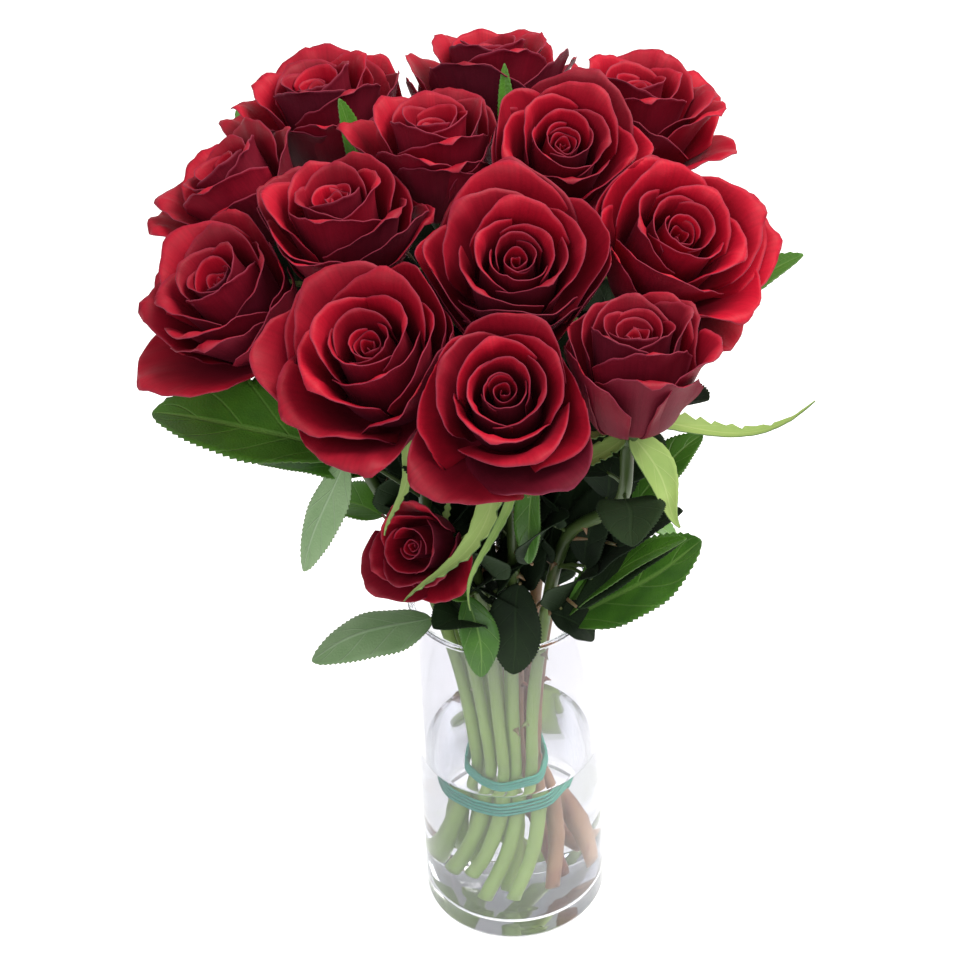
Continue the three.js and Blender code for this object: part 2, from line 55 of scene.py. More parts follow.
MM = 0.001
GAP = 0.3  # between neighbouring pieces
MERGE = 1e-4  # points that lie nearer than this are one
HOLD_RUN = 3.0  # the shortest run of a turned profile that is kept straight
HOLD = 0.3  # how close to each end of such a run its extra ring lies
BLOOM_HEIGHT = 60.0  # of a rose of full size, from the hip to the top of its heart
BLOOM_MIDDLE = 0.6  # where a bloom is widest, as a share of its height
SEPALS = 5  # of every rose

Triple = tuple[float, float, float]
Surface = Callable[[np.ndarray, np.ndarray], np.ndarray]


# ---------- Where each rose is ----------


@dataclass(frozen=True)
class BladePlan:
    """One leaflet: its place on the stalk, its tip, half width and arch.

    One with a half width below 0 is turned over, with its pale underside up: partly to show a real
    underside, partly as a painted reflection standing in for the sheen on a glossy top.
    """

    share: float
    tip: Triple
    half: float
    arch: float


@dataclass(frozen=True)
class LeafPlan:
    """One leaf: its height on the stem, the end of its stalk, its leaflets, and if it takes the
    near-black finish that is painted shade inside the bunch.
    """

    at: float
    stalk: Triple
    blades: tuple[BladePlan, ...]
    # A leaf marked so takes the near-black finish that stands in for the shade inside the bunch:
    # painted shade.
    painted_shade_and_haze: bool = False


@dataclass(frozen=True)
class Rose:
    """The place and habit of one rose.

    heart is the top of the flower's heart. lean is its tilt from upright, towards the compass
    direction towards, where 0 is +X and 90 is +Y. spin is its turn about its own axis. place is
    where its stem runs in the fan, and foot is how far its cut end stands above the lowest.

    Each guard petal has a direction, where 0 is the side that the flower leans to, and a stand.
    With a stand below 0 it stands as far but is folded over, with its back up. petals and skirts
    count the petals of the spiral and of the skirt round it, and opened is how far they have
    opened, where 1 is usual. shade is how much brighter or, below 0, duller its petals are painted
    than usual: painted light on a flower that the light falls on more, and painted shade on one
    that the other flowers shade. flush is how red its stem is.

    Each free sepal has a tip, a half width and how deep its teeth are.
    """

    name: str
    heart: Triple
    lean: float
    towards: float
    size: float
    spin: float
    place: tuple[float, float]
    foot: float = 0.0
    guards: tuple[tuple[float, float], ...] = ()
    petals: int = 11
    opened: float = 1.0
    skirts: int = 4
    # painted light above 0 and painted shade below 0, for how the light falls on the flower
    shade: float = 0.0
    flush: float = -0.2
    sepals: tuple[tuple[Triple, float, float], ...] = ()
    leaves: tuple[LeafPlan, ...] = ()

    @property
    def axis(self) -> Vector:
        """The way that the flower looks."""
        lean, towards = math.radians(self.lean), math.radians(self.towards)
        level = math.sin(lean)
        return Vector((level * math.cos(towards), level * math.sin(towards), math.cos(lean)))

    @property
    def base(self) -> Vector:
        """The top of the hip, where the petals start."""
        return Vector(self.heart) - self.axis * (BLOOM_HEIGHT * self.size)

    @property
    def middle(self) -> Vector:
        """The middle of the bloom, which keeps its distance from the next one."""
        return self.base.lerp(Vector(self.heart), BLOOM_MIDDLE)

    @property
    def frame(self) -> Matrix:
        """Stands the flower in its place.

        Returns:
            The way from the flower's own frame, at its true size, to the vase's frame.
        """
        towards = math.radians(self.towards)
        side = Vector((-math.sin(towards), math.cos(towards), 0.0))
        front = side.cross(self.axis)
        turned = Matrix((front, side, self.axis)).transposed().to_4x4()
        return Matrix.Translation(self.base) @ turned @ Matrix.Scale(self.size, 4)


def leaf(
    at: float, stalk: Triple, *blades: tuple[float, Triple, float, float], painted_shade_and_haze: bool = False
) -> LeafPlan:
    """A leaf plan from plain numbers, with share, tip, half width and arch for each leaflet."""
    return LeafPlan(at, stalk, tuple(BladePlan(*blade) for blade in blades), painted_shade_and_haze)


# Each rose's shade paints its petals brighter where the light falls on it more, and duller where
# the other flowers shade it. The leaves marked so take the near-black finish that is painted shade
# inside the bunch.
ROSES = (
    # The back row, from left to right.
    Rose(
        "rose_01", (-82, 121, 474), 16, 135, 1.0, 15, (-60, 90), 0,
        guards=((-75, 40), (30, 44), (110, 30)),
        leaves=(
            leaf(320, (-82, 112, 372), (1, (-125, 168, 420), 15, 8)),
            leaf(260, (-40, 56, 268), (1, (-66, 98, 258), 15, 6)),
        ),
    ),
    Rose(
        "rose_02", (10, 138, 478), 26, 85, 0.98, 50, (6, 108), 6,
        guards=((-80, 34), (20, 40), (110, 44)), flush=0.2,
        leaves=(
            leaf(325, (8, 118, 356), (1, (22, 190, 368), 18, 9), (0.7, (-36, 164, 338), 14, 6)),
        ),
    ),
    Rose(
        "rose_03", (84, 104, 474), 13, 45, 1.0, 0, (68, 86), 0,
        guards=((-85, 46), (0, 36), (110, 30)), shade=0.4, flush=0.3,
        leaves=(
            leaf(310, (66, 82, 345), (1, (122, 132, 362), 18, 9)),
            leaf(258, (42, 52, 270), (1, (86, 74, 256), 15, 6)),
        ),
    ),
    # The second row.
    Rose(
        "rose_04", (-133, 66, 462), 34, 165, 0.95, 80, (-99, 46), 3,
        guards=((40, 56), (-60, 30)),
        leaves=(
            leaf(312, (-84, 46, 345), (1, (-148, 84, 352), 17, 8)),
            leaf(350, (-92, 20, 376), (1, (-98, 42, 438), 15, 3), painted_shade_and_haze=True),
        ),
    ),
    Rose(
        "rose_05", (-21, 52, 494), 10, 100, 0.95, 30, (-22, 45), 9,
        guards=((0, 26), (180, 26)),
        leaves=(leaf(375, (-56, 70, 424), (1, (-68, 82, 482), 8, 2)),),
    ),
    Rose(
        "rose_06", (44, 25, 494), 26, -70, 0.95, 110, (34, 48), 0,
        guards=((10, 30), (-110, 28)), flush=0.4,
        leaves=(
            leaf(375, (16, 77, 428), (1, (16, 98, 487), 5, 2)),
            leaf(296, (32, 16, 320), (1, (60, -16, 356), 11, 5)),
        ),
    ),
    # The third row, with its left end last.
    Rose(
        "rose_07", (-71, 2, 488), 6, 180, 1.0, 200, (-62, -2), 12,
        guards=((60, 30), (170, 34), (-25, 42)),
    ),
    Rose(
        "rose_08", (16, -62, 490), 30, -85, 1.05, 65, (10, -24), 0,
        guards=((80, 36), (-85, 46), (180, 26)), shade=-0.2,
        leaves=(
            leaf(296, (20, -20, 324), (1, (50, -30, 372), 13, 5)),
            leaf(262, (12, -24, 285), (1, (4, -60, 330), 17, 5), painted_shade_and_haze=True),
        ),
    ),
    Rose(
        "rose_09", (99, -29, 476), 30, -50, 1.05, 140, (84, -2), 4,
        guards=((65, 36), (-25, 48), (170, 24)), shade=0.8, flush=0.5,
        leaves=(
            leaf(322, (82, 4, 362), (1, (160, 24, 412), 15, 8)),
            leaf(300, (74, -8, 330), (1, (106, -40, 374), 18, 6), painted_shade_and_haze=True),
            leaf(262, (58, 4, 268), (1, (96, 10, 236), 16, 6), (0.5, (68, 36, 298), 13, 5)),
        ),
    ),
    Rose(
        "rose_10", (-134, -20, 460), 26, -160, 1.0, 122, (-108, -14), 0,
        guards=((20, 46), (-80, 40), (120, 30)),
        sepals=(((-151, -27, 399), 3.5, 0.2),),
        leaves=(leaf(262, (-60, 4, 274), (1, (-98, 26, 262), 15, 6)),),
    ),
    # The front row.
    Rose(
        "rose_11", (-59, -91, 470), 26, -115, 1.1, 300, (-66, -72), 8,
        guards=((15, 38), (-80, 34), (110, 36)), shade=0.3,
        sepals=(((-50, -100, 350), 3, 0.4),),
        leaves=(
            leaf(
                322, (-78, -57, 368),
                (1, (-168, -34, 380), 30, 6),
                (0.6, (-119, -30, 344), 16, 5),
                (0.9, (-98, -75, 308), -12, 3),
            ),
            # Turned over: its pale underside up is a painted reflection, for the sheen of light on
            # this leaf's glossy top.
            leaf(239, (-38, -38, 236), (1, (-100, -51, 224), -17, 7)),
            leaf(270, (-40, -48, 282), (1, (-34, -78, 322), 16, 5), painted_shade_and_haze=True),
        ),
    ),
    Rose(
        "rose_12", (5, -126, 462), 35, -92, 1.05, 230, (14, -84), 0,
        guards=((-45, 40), (38, -34)), skirts=2, shade=-0.1,
        sepals=(((-42, -132, 330), 7, 0.45), ((-12, -128, 322), 2.2, 0.2)),
        leaves=(
            leaf(345, (20, -68, 352), (1, (14, -72, 302), 9, 2)),
            leaf(246, (10, -42, 262), (1, (4, -62, 217), 14, 5), painted_shade_and_haze=True),
            leaf(262, (-4, -52, 275), (1, (-26, -74, 318), 17, 5), painted_shade_and_haze=True),
            leaf(285, (16, -66, 296), (1, (34, -78, 336), 16, 5), painted_shade_and_haze=True),
        ),
    ),
    Rose(
        "rose_13", (69, -90, 468), 6, 40, 1.0, 90, (66, -78), 5,
        guards=((-60, 18), (60, 30), (170, 26)), opened=0.6, skirts=3, shade=-0.35,
        sepals=(((89, -128, 372), 9, 0.05), ((154, -74, 402), 8, 0.5), ((30, -112, 390), 6, 0.7)),
        leaves=(
            leaf(318, (70, -66, 332), (1, (104, -42, 354), 12, 5), (0.6, (70, -40, 300), 10, 3)),
            leaf(234, (34, -52, 240), (1, (104, -31, 274), 27, -2), (0.7, (94, -58, 300), 13, 5)),
            leaf(290, (60, -60, 300), (1, (96, -48, 352), 18, 6), painted_shade_and_haze=True),
            leaf(265, (46, -56, 275), (1, (92, -62, 322), 17, 6), painted_shade_and_haze=True),
            leaf(240, (30, -50, 250), (1, (48, -70, 290), 17, 5), painted_shade_and_haze=True),
            leaf(244, (38, -56, 256), (1, (92, -48, 290), 12, 3), painted_shade_and_haze=True),
            leaf(238, (24, -54, 250), (1, (46, -58, 234), 13, 4), painted_shade_and_haze=True),
            leaf(262, (44, -52, 280), (1, (57, -42, 326), 15, 4), painted_shade_and_haze=True),
        ),
    ),
    # The small one that hangs low at the front.
    Rose(
        "rose_14", (-46, -92, 335), 55, -120, 0.66, 40, (-26, -100), 16,
        guards=((-35, 30), (60, 34)), petals=6, opened=0.4, skirts=3, shade=-0.5,
        leaves=(
            leaf(252, (-18, -55, 266), (1, (-58, -54, 279), 13, 5), (0.9, (-12, -72, 226), 10, 6)),
            leaf(236, (-14, -54, 244), (1, (-36, -72, 262), 15, 5), painted_shade_and_haze=True),
        ),
    ),
)


# ---------- Small helpers ----------


class Draw(IntEnum):
    """What a draw decides. A row of draws counts on from its name, and some share a number."""

    CANE_RADIUS = 0
    STALK_TONE = 0
    PHASE = 1
    LEAF_TONE = 1
    HOOK = 2
    LIP_TWIST = 3
    POINT = 4
    STAND_TWIST = 5
    DIRECTION = 6
    LENGTH = 7
    STAND = 8
    LIP = 9
    PETAL_TONE = 10
    ROLL_TURN = 11
    ROLL_HEIGHT = 12
    CANE_TONE = 40
    THORN_HEIGHT = 60
    THORN_SIDE = 70
    SEPAL_TONE = 80
    FREE_SEPAL_TONE = 90
    SEPAL_LENGTH = 100
    SEPAL_LEAN = 110
    INNER_HEIGHT = 120
    INNER_AWAY = 130
    INNER_UP = 140
    INNER_HALF = 150
    UNDER_SIDE = 160
    UNDER_UP = 170


def draw(seed: float, index: float) -> float:
    """A repeatable draw from -1 to 1."""
    x = math.sin(seed * 12.9898 + index * 78.233) * 43758.5453
    return 2 * (x - math.floor(x)) - 1


def smooth(x: np.ndarray) -> np.ndarray:
    """The smooth step from 0 to 1."""
    held = np.clip(x, 0.0, 1.0)
    return held * held * (3 - 2 * held)


def srgb(colour: str) -> tuple[float, float, float, float]:
    """Turns a hex colour to linear.

    Args:
        colour: Red, green and blue, such as "a01020".

    Returns:
        Linear red, green, blue and alpha.
    """
    parts = (int(colour[i : i + 2], 16) / 255 for i in (0, 2, 4))
    linear = [p / 12.92 if p <= 0.04045 else ((p + 0.055) / 1.055) ** 2.4 for p in parts]
    return (*linear, 1.0)


def scale_of(size: float) -> float:
    """The scale of a pattern on Object coordinates whose cells are this many millimetres wide."""
    return 1 / (size * MM)


def feed(tree: bpy.types.NodeTree, node: bpy.types.Node, inputs: dict) -> None:
    """Sets or links a node's inputs.

    Args:
        tree: The tree that the node is in.
        node: The node.
        inputs: Value or output socket for each input, by name or number.
    """
    for name, value in inputs.items():
        if isinstance(value, bpy.types.NodeSocket):
            tree.links.new(value, node.inputs[name])
        else:
            node.inputs[name].default_value = value


def add(
    tree: bpy.types.NodeTree, kind: str, inputs: dict | None = None, **settings: object
) -> bpy.types.NodeOutputs:
    """Adds a node to a tree.

    Args:
        tree: The material's tree.
        kind: The node's type.
        inputs: Value or output socket for each input, by name or number.
        settings: The node's own properties.

    Returns:
        The node's output sockets.
    """
    made = tree.nodes.new(kind)
    for name, value in settings.items():
        setattr(made, name, value)
    feed(tree, made, inputs or {})
    return made.outputs


def new_mesh() -> bmesh.types.BMesh:
    """Starts a mesh with a UV map and the tone that tells one petal or leaf from the next.

    Returns:
        The empty mesh.
    """
    mesh = bmesh.new()
    mesh.loops.layers.uv.new("UVMap")
    mesh.verts.layers.float.new("tone")
    return mesh


def lay_sheet(
    mesh: bmesh.types.BMesh, columns: int, rows: int, surface: Surface, tone: float
) -> list[bmesh.types.BMVert]:
    """Adds a grid and bends it to a surface.

    Args:
        mesh: The mesh to add to.
        columns: Number of faces across.
        rows: Number of faces along.
        surface: Gives the places of s from -1 to 1 across and t from 0 to 1 along.
        tone: The sheet's own shade, from -1 to 1. For a petal it also holds its flower's painted
            light and shade.

    Returns:
        The new vertices.
    """
    verts = bmesh.ops.create_grid(
        mesh, x_segments=columns, y_segments=rows, size=1.0, calc_uvs=True
    )["verts"]
    across = np.array([v.co.x for v in verts])
    along = np.array([(v.co.y + 1) / 2 for v in verts])
    layer = mesh.verts.layers.float["tone"]
    for vert, place in zip(verts, surface(across, along)):
        vert.co = place
        vert[layer] = tone
    for face in {face for vert in verts for face in vert.link_faces}:
        face.smooth = True
    return verts


def sweep(
    mesh: bmesh.types.BMesh, path: Sequence[Vector], radii: Sequence[float], sides: int,
    tone: float = 0.0, flat: float = 1.0,
) -> None:
    """Adds a closed round bar along a path.

    Args:
        mesh: The mesh to add to.
        path: The points that the bar follows.
        radii: Its radius at each point.
        sides: Number of faces round it.
        tone: Its own shade.
        flat: Its thickness one way as a share of its width the other way.
    """
    line = np.array([tuple(p) for p in path])
    tangents = np.gradient(line, axis=0)
    tangents /= np.linalg.norm(tangents, axis=1)[:, None]
    # A bar that starts upright takes its first side from +X, and any other from +Z.
    level = abs(tangents[0][2]) < 0.9
    start = np.cross(tangents[0], (0.0, 0.0, 1.0) if level else (1.0, 0.0, 0.0))
    normals = [start / np.linalg.norm(start)]
    for tangent in tangents[1:]:
        carried = normals[-1] - tangent * np.dot(normals[-1], tangent)
        normals.append(carried / np.linalg.norm(carried))
    normals = np.array(normals)
    binormals = np.cross(tangents, normals)
    sizes = np.array(radii)
    last = len(path) - 1

    def round_it(s: np.ndarray, t: np.ndarray) -> np.ndarray:
        """Rounds the sheet into the bar.

        Args:
            s: Places round it, from -1 to 1.
            t: Places along it, from 0 to 1.

        Returns:
            The places.
        """
        row = np.rint(t * last).astype(int)
        angle = math.pi * (s + 1)
        out = sizes[row][:, None]
        return (
            line[row]
            + normals[row] * (np.cos(angle)[:, None] * out)
            + binormals[row] * (np.sin(angle)[:, None] * out * flat)
        )

    verts = lay_sheet(mesh, sides, last, round_it, tone)
    bmesh.ops.remove_doubles(mesh, verts=verts, dist=MERGE)
    kept = [v for v in verts if v.is_valid]
    rim = [e for e in {e for v in kept for e in v.link_edges} if e.is_boundary]
    bmesh.ops.holes_fill(mesh, edges=rim, sides=0)


def turn(profile: Sequence[tuple[float, float]], steps: int) -> bmesh.types.BMesh:
    """A body of revolution about Z.

    Args:
        profile: Radius and height of each point, from the axis to the axis.
        steps: Number of faces round it.

    Returns:
        Its closed mesh.
    """
    mesh = new_mesh()
    places = [Vector((radius, 0.0, height)) for radius, height in profile]
    held = places[:1]
    for start, end in zip(places, places[1:]):
        # A ring close to each end of a long run keeps its shading straight.
        if (end - start).length > HOLD_RUN:
            along = (end - start).normalized() * HOLD
            held += [start + along, end - along]
        held.append(end)
    verts = [mesh.verts.new(place) for place in held]
    edges = [mesh.edges.new(pair) for pair in zip(verts, verts[1:])]
    bmesh.ops.spin(
        mesh, geom=verts + edges, cent=(0, 0, 0), axis=(0, 0, 1), angle=math.tau, steps=steps,
        use_merge=True,
    )
    bmesh.ops.remove_doubles(mesh, verts=mesh.verts, dist=MERGE)
    bmesh.ops.recalc_face_normals(mesh, faces=mesh.faces)
    for face in mesh.faces:
        face.smooth = True
    return mesh


def arc(
    centre: tuple[float, float], radius: float, start: float, end: float, steps: int = 6
) -> list[tuple[float, float]]:
    """Points of a round corner in a profile, from one angle to another in degrees."""
    angles = (math.radians(start + (end - start) * i / steps) for i in range(steps + 1))
    return [(centre[0] + radius * math.cos(a), centre[1] + radius * math.sin(a)) for a in angles]


def make_object(
    name: str, mesh: bmesh.types.BMesh, finishes: Sequence["Finish"]
) -> bpy.types.Object:
    """Turns a mesh in metres into an object of the scene.

    Args:
        name: The object's name.
        mesh: Its mesh, which this uses up.
        finishes: A finish for each of its slots.

    Returns:
        The object.
    """
    data = bpy.data.meshes.new(name)
    mesh.to_mesh(data)
    mesh.free()
    for finish in finishes:
        data.materials.append(finish.material())
    made = bpy.data.objects.new(name, data)
    bpy.context.scene.collection.objects.link(made)
    log.info("%s: %d faces", name, len(data.polygons))
    return made


def make_piece(
    name: str, mesh: bmesh.types.BMesh, finishes: Sequence["Finish"], node: str
) -> bpy.types.Object:
    """Turns a mesh in millimetres into a piece of the part.

    Args:
        name: The piece's name.
        mesh: Its mesh, which this uses up.
        finishes: A finish for each of its slots.
        node: The CAD node that it stands for.

    Returns:
        The piece.
    """
    bmesh.ops.scale(mesh, vec=(MM, MM, MM), verts=mesh.verts)
    made = make_object(name, mesh, finishes)
    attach(made, "root")
    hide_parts(node)
    return made


def thicken(piece: bpy.types.Object, thickness: float) -> None:
    """Gives a sheet its thickness, with the next two slots on its second face and its rim.

    Args:
        piece: The sheet.
        thickness: How thick it gets, half of it on each side.
    """
    shell = piece.modifiers.new("thickness", "SOLIDIFY")
    shell.thickness = thickness * MM
    shell.offset = 0.0
    shell.use_even_offset = False
    shell.material_offset = 1
    shell.material_offset_rim = 2


# ---------- Finishes ----------

# Sockets of the node that mixes two colours.
SHARE, FIRST, SECOND, MIXED = 0, 6, 7, 2


@dataclass(frozen=True)
class BaseFinish:
    """What all finishes have: a name, and how their material is made."""

    name: str

    def make(self) -> bpy.types.Material:
        """Makes the material.

        Returns:
            The material.
        """
        made = bpy.data.materials.new(self.name)
        made.use_nodes = True
        tree = made.node_tree
        feed(tree, tree.nodes["Principled BSDF"], self.sockets(tree))
        return made

    def sockets(self, tree: bpy.types.NodeTree) -> dict:
        """What goes into each of the shader's sockets, which every finish says for itself."""
        raise NotImplementedError


@dataclass(frozen=True)
class PetalFinish(BaseFinish):
    """Fresh rose petal. Its cone-shaped skin cells scatter light, which gives the velvet look.

    Fine veins run up it and it is mottled. It is painted darker towards its root, as painted shade
    deep in the flower, and paler at its rim, partly its own drier rim and partly a painted
    highlight. Its tone paints it brighter or duller, partly its own colour and partly painted light
    and shade. The skin cells are 0.03 mm across, too fine to show, so their grain is drawn 0.67 mm
    across.
    """

    lit: str  # a bright petal: partly its own colour, partly painted light, as on a petal lit through from behind
    dull: str  # a dull petal: partly its own colour, partly painted shade
    deep: str  # painted shade towards the root of any petal, deep in the flower
    edge: str  # at its very rim: partly its own drier colour, partly a painted highlight
    roughness: float
    sheen: float
    sheen_tint: str
    gloss: float
    size: tuple[float, float] = (76.0, 67.0)  # width and length that the UV map covers
    vein: tuple[float, float] = (1.652, 30.45)  # from one vein to the next, and along one
    cloud: float = 11.765  # across one patch of the mottling
    grain: float = 0.6667
    relief: float = 0.4
    vein_relief: float = 0.7  # next to that of the grain
    mottling: float = 0.2  # how much brighter or duller a patch is
    painted_shade_to: float = 0.3  # where along the petal the painted shade of its root ends
    lit_from: float = 0.92
    # where the rim starts to be painted paler
    pale_rim_from: float = 0.975

    def sockets(self, tree: bpy.types.NodeTree) -> dict:
        """Makes the nodes that colour and roughen the petal.

        Args:
            tree: The material's tree.

        Returns:
            What goes into the shader's sockets.
        """
        place = add(tree, "ShaderNodeTexCoord")
        clouds = add(
            tree, "ShaderNodeTexNoise",
            {
                "Vector": place["Object"], "Scale": scale_of(self.cloud), "Detail": 3.0,
                "Roughness": 0.6,
            },
        )["Fac"]
        counts = [size / vein for size, vein in zip(self.size, self.vein)]
        stretched = add(tree, "ShaderNodeMapping", {"Vector": place["UV"], "Scale": (*counts, 1.0)})
        veins = add(
            tree, "ShaderNodeTexNoise",
            {"Vector": stretched[0], "Scale": 1.0, "Detail": 4.0, "Distortion": 0.4},
        )["Fac"]
        grain = add(
            tree, "ShaderNodeTexNoise",
            {"Vector": place["Object"], "Scale": scale_of(self.grain), "Detail": 2.0},
        )["Fac"]
        height = add(
            tree, "ShaderNodeMath", {0: veins, 1: self.vein_relief, 2: grain},
            operation="MULTIPLY_ADD",
        )[0]
        bump = add(
            tree, "ShaderNodeBump",
            {"Strength": 0.25, "Distance": self.relief * MM, "Height": height},
        )[0]
        return {
            "Base Color": self._colour(tree, place["UV"], clouds, veins),
            "Normal": bump,
            "Roughness": self.roughness,
            "IOR": 1.4,
            "Specular IOR Level": self.gloss,
            "Sheen Weight": self.sheen,
            "Sheen Roughness": 0.4,
            "Sheen Tint": srgb(self.sheen_tint),
        }

    def _colour(
        self, tree: bpy.types.NodeTree, flat: bpy.types.NodeSocket,
        clouds: bpy.types.NodeSocket, veins: bpy.types.NodeSocket,
    ) -> bpy.types.NodeSocket:
        """Colours the petal from its root to its rim.

        Args:
            tree: The material's tree.
            flat: The UV map.
            clouds: The mottling, from 0 to 1.
            veins: The veins, from 0 to 1.

        Returns:
            The output socket of the colour.
        """
        up = add(tree, "ShaderNodeSeparateXYZ", {0: flat})["Y"]
        # The tone, each petal's own plus its flower's shade, mixes dull with lit: partly own
        # colour, partly painted light and shade.
        tone = add(tree, "ShaderNodeAttribute", attribute_name="tone")["Fac"]
        bright = add(tree, "ShaderNodeMapRange", {"Value": tone, "From Min": -1.0})[0]
        face = add(
            tree, "ShaderNodeMix",
            {SHARE: bright, FIRST: srgb(self.dull), SECOND: srgb(self.lit)}, data_type="RGBA",
        )[MIXED]
        # Painted shade: the colour deepens towards the root over most of the petal, deep in the
        # flower.
        out_of_painted_shade = add(
            tree, "ShaderNodeMapRange",
            {"Value": up, "From Min": self.painted_shade_to, "From Max": self.lit_from},
            interpolation_type="SMOOTHSTEP",
        )[0]
        with_painted_light = add(
            tree, "ShaderNodeMix", {SHARE: out_of_painted_shade, FIRST: srgb(self.deep), SECOND: face},
            data_type="RGBA",
        )[MIXED]
        both = add(tree, "ShaderNodeMath", {0: clouds, 1: veins}, operation="ADD")[0]
        value = add(
            tree, "ShaderNodeMapRange",
            {
                "Value": both, "From Min": 0.6, "From Max": 1.4,
                "To Min": 1 - self.mottling, "To Max": 1 + self.mottling,
            },
        )[0]
        mottled = add(tree, "ShaderNodeHueSaturation", {"Color": with_painted_light, "Value": value})[0]
        # The last 2 mm of the rim is painted paler, here more and there less: partly its own drier
        # colour, partly a painted highlight.
        paler_rim = add(
            tree, "ShaderNodeMapRange",
            {"Value": up, "From Min": self.pale_rim_from, "From Max": 1.0, "To Max": clouds},
            interpolation_type="SMOOTHSTEP",
        )[0]
        return add(
            tree, "ShaderNodeMix", {SHARE: paler_rim, FIRST: mottled, SECOND: srgb(self.edge)},
            data_type="RGBA",
        )[MIXED]


@dataclass(frozen=True)
class LeafFinish(BaseFinish):
    """Rose leaf: a waxy skin over a net of veins, glossy above and dull beneath.

    The net is 0.5 mm wide, too fine to show, so it is drawn 1.9 mm wide.
    """

    blade: str  # between the veins
    dark: str  # where the leaf is older
    vein: str
    roughness: float
    relief: float  # strength of the veins' relief, which is sunk above and raised beneath
    gloss: float = 0.4
    veins: float = 8.0  # side veins on each half of a leaf
    slant: float = 2.6  # how far they run forward on the way to the edge, as a count of veins
    rib_width: float = 0.09  # as a share of half the leaf's width
    vein_width: float = 0.12  # as a share of the way to the next one
    side_vein: float = 0.7  # how strong a side vein is next to the rib
    vein_colour: float = 0.35  # how much of the veins' own colour shows
    net: float = 1.923
    net_relief: float = 0.5
    cloud: float = 16.667  # across one patch of older green
    tones: float = 0.3  # how unlike each other leaves are
    depth: float = 0.8

    def sockets(self, tree: bpy.types.NodeTree) -> dict:
        """Makes the nodes that colour the leaf and raise its veins.

        Args:
            tree: The material's tree.

        Returns:
            What goes into the shader's sockets.
        """
        place = add(tree, "ShaderNodeTexCoord")
        veins = self._veins(tree, place["UV"])
        tone = add(tree, "ShaderNodeAttribute", attribute_name="tone")["Fac"]
        clouds = add(
            tree, "ShaderNodeTexNoise",
            {"Vector": place["Object"], "Scale": scale_of(self.cloud), "Detail": 3.0},
        )["Fac"]
        young = add(
            tree, "ShaderNodeMath", {0: tone, 1: self.tones, 2: clouds}, operation="MULTIPLY_ADD"
        )[0]
        flesh = add(
            tree, "ShaderNodeMix",
            {SHARE: young, FIRST: srgb(self.dark), SECOND: srgb(self.blade)}, data_type="RGBA",
        )[MIXED]
        faint = add(
            tree, "ShaderNodeMath", {0: veins, 1: self.vein_colour}, operation="MULTIPLY"
        )[0]
        colour = add(
            tree, "ShaderNodeMix", {SHARE: faint, FIRST: flesh, SECOND: srgb(self.vein)},
            data_type="RGBA",
        )[MIXED]
        net = add(
            tree, "ShaderNodeTexVoronoi",
            {"Vector": place["Object"], "Scale": scale_of(self.net)}, feature="DISTANCE_TO_EDGE",
        )["Distance"]
        height = add(
            tree, "ShaderNodeMath", {0: net, 1: self.net_relief, 2: veins},
            operation="MULTIPLY_ADD",
        )[0]
        bump = add(
            tree, "ShaderNodeBump",
            {"Strength": abs(self.relief), "Distance": self.depth * MM, "Height": height},
            invert=self.relief < 0,
        )[0]
        return {
            "Base Color": colour,
            "Normal": bump,
            "Roughness": self.roughness,
            "IOR": 1.45,
            "Specular IOR Level": self.gloss,
        }

    def _veins(
        self, tree: bpy.types.NodeTree, flat: bpy.types.NodeSocket
    ) -> bpy.types.NodeSocket:
        """Draws the rib and the side veins.

        Args:
            tree: The material's tree.
            flat: The UV map.

        Returns:
            The output socket that is 1 on the rib, less on a side vein and 0 between them.
        """
        split = add(tree, "ShaderNodeSeparateXYZ", {0: flat})
        centred = add(
            tree, "ShaderNodeMath", {0: split["X"], 1: 2.0, 2: -1.0}, operation="MULTIPLY_ADD"
        )[0]
        out = add(tree, "ShaderNodeMath", {0: centred}, operation="ABSOLUTE")[0]
        along = add(
            tree, "ShaderNodeMath", {0: split["Y"], 1: self.veins}, operation="MULTIPLY"
        )[0]
        slanted = add(
            tree, "ShaderNodeMath", {0: out, 1: -self.slant, 2: along}, operation="MULTIPLY_ADD"
        )[0]
        wave = add(tree, "ShaderNodeMath", {0: slanted, 1: 1.0}, operation="PINGPONG")[0]
        side_vein = add(
            tree, "ShaderNodeMapRange",
            {
                "Value": wave, "From Min": self.vein_width, "From Max": 0.0,
                "To Max": self.side_vein,
            },
            interpolation_type="SMOOTHSTEP",
        )[0]
        rib = add(
            tree, "ShaderNodeMapRange",
            {"Value": out, "From Min": self.rib_width, "From Max": 0.02},
            interpolation_type="SMOOTHSTEP",
        )[0]
        return add(tree, "ShaderNodeMath", {0: side_vein, 1: rib}, operation="MAXIMUM")[0]


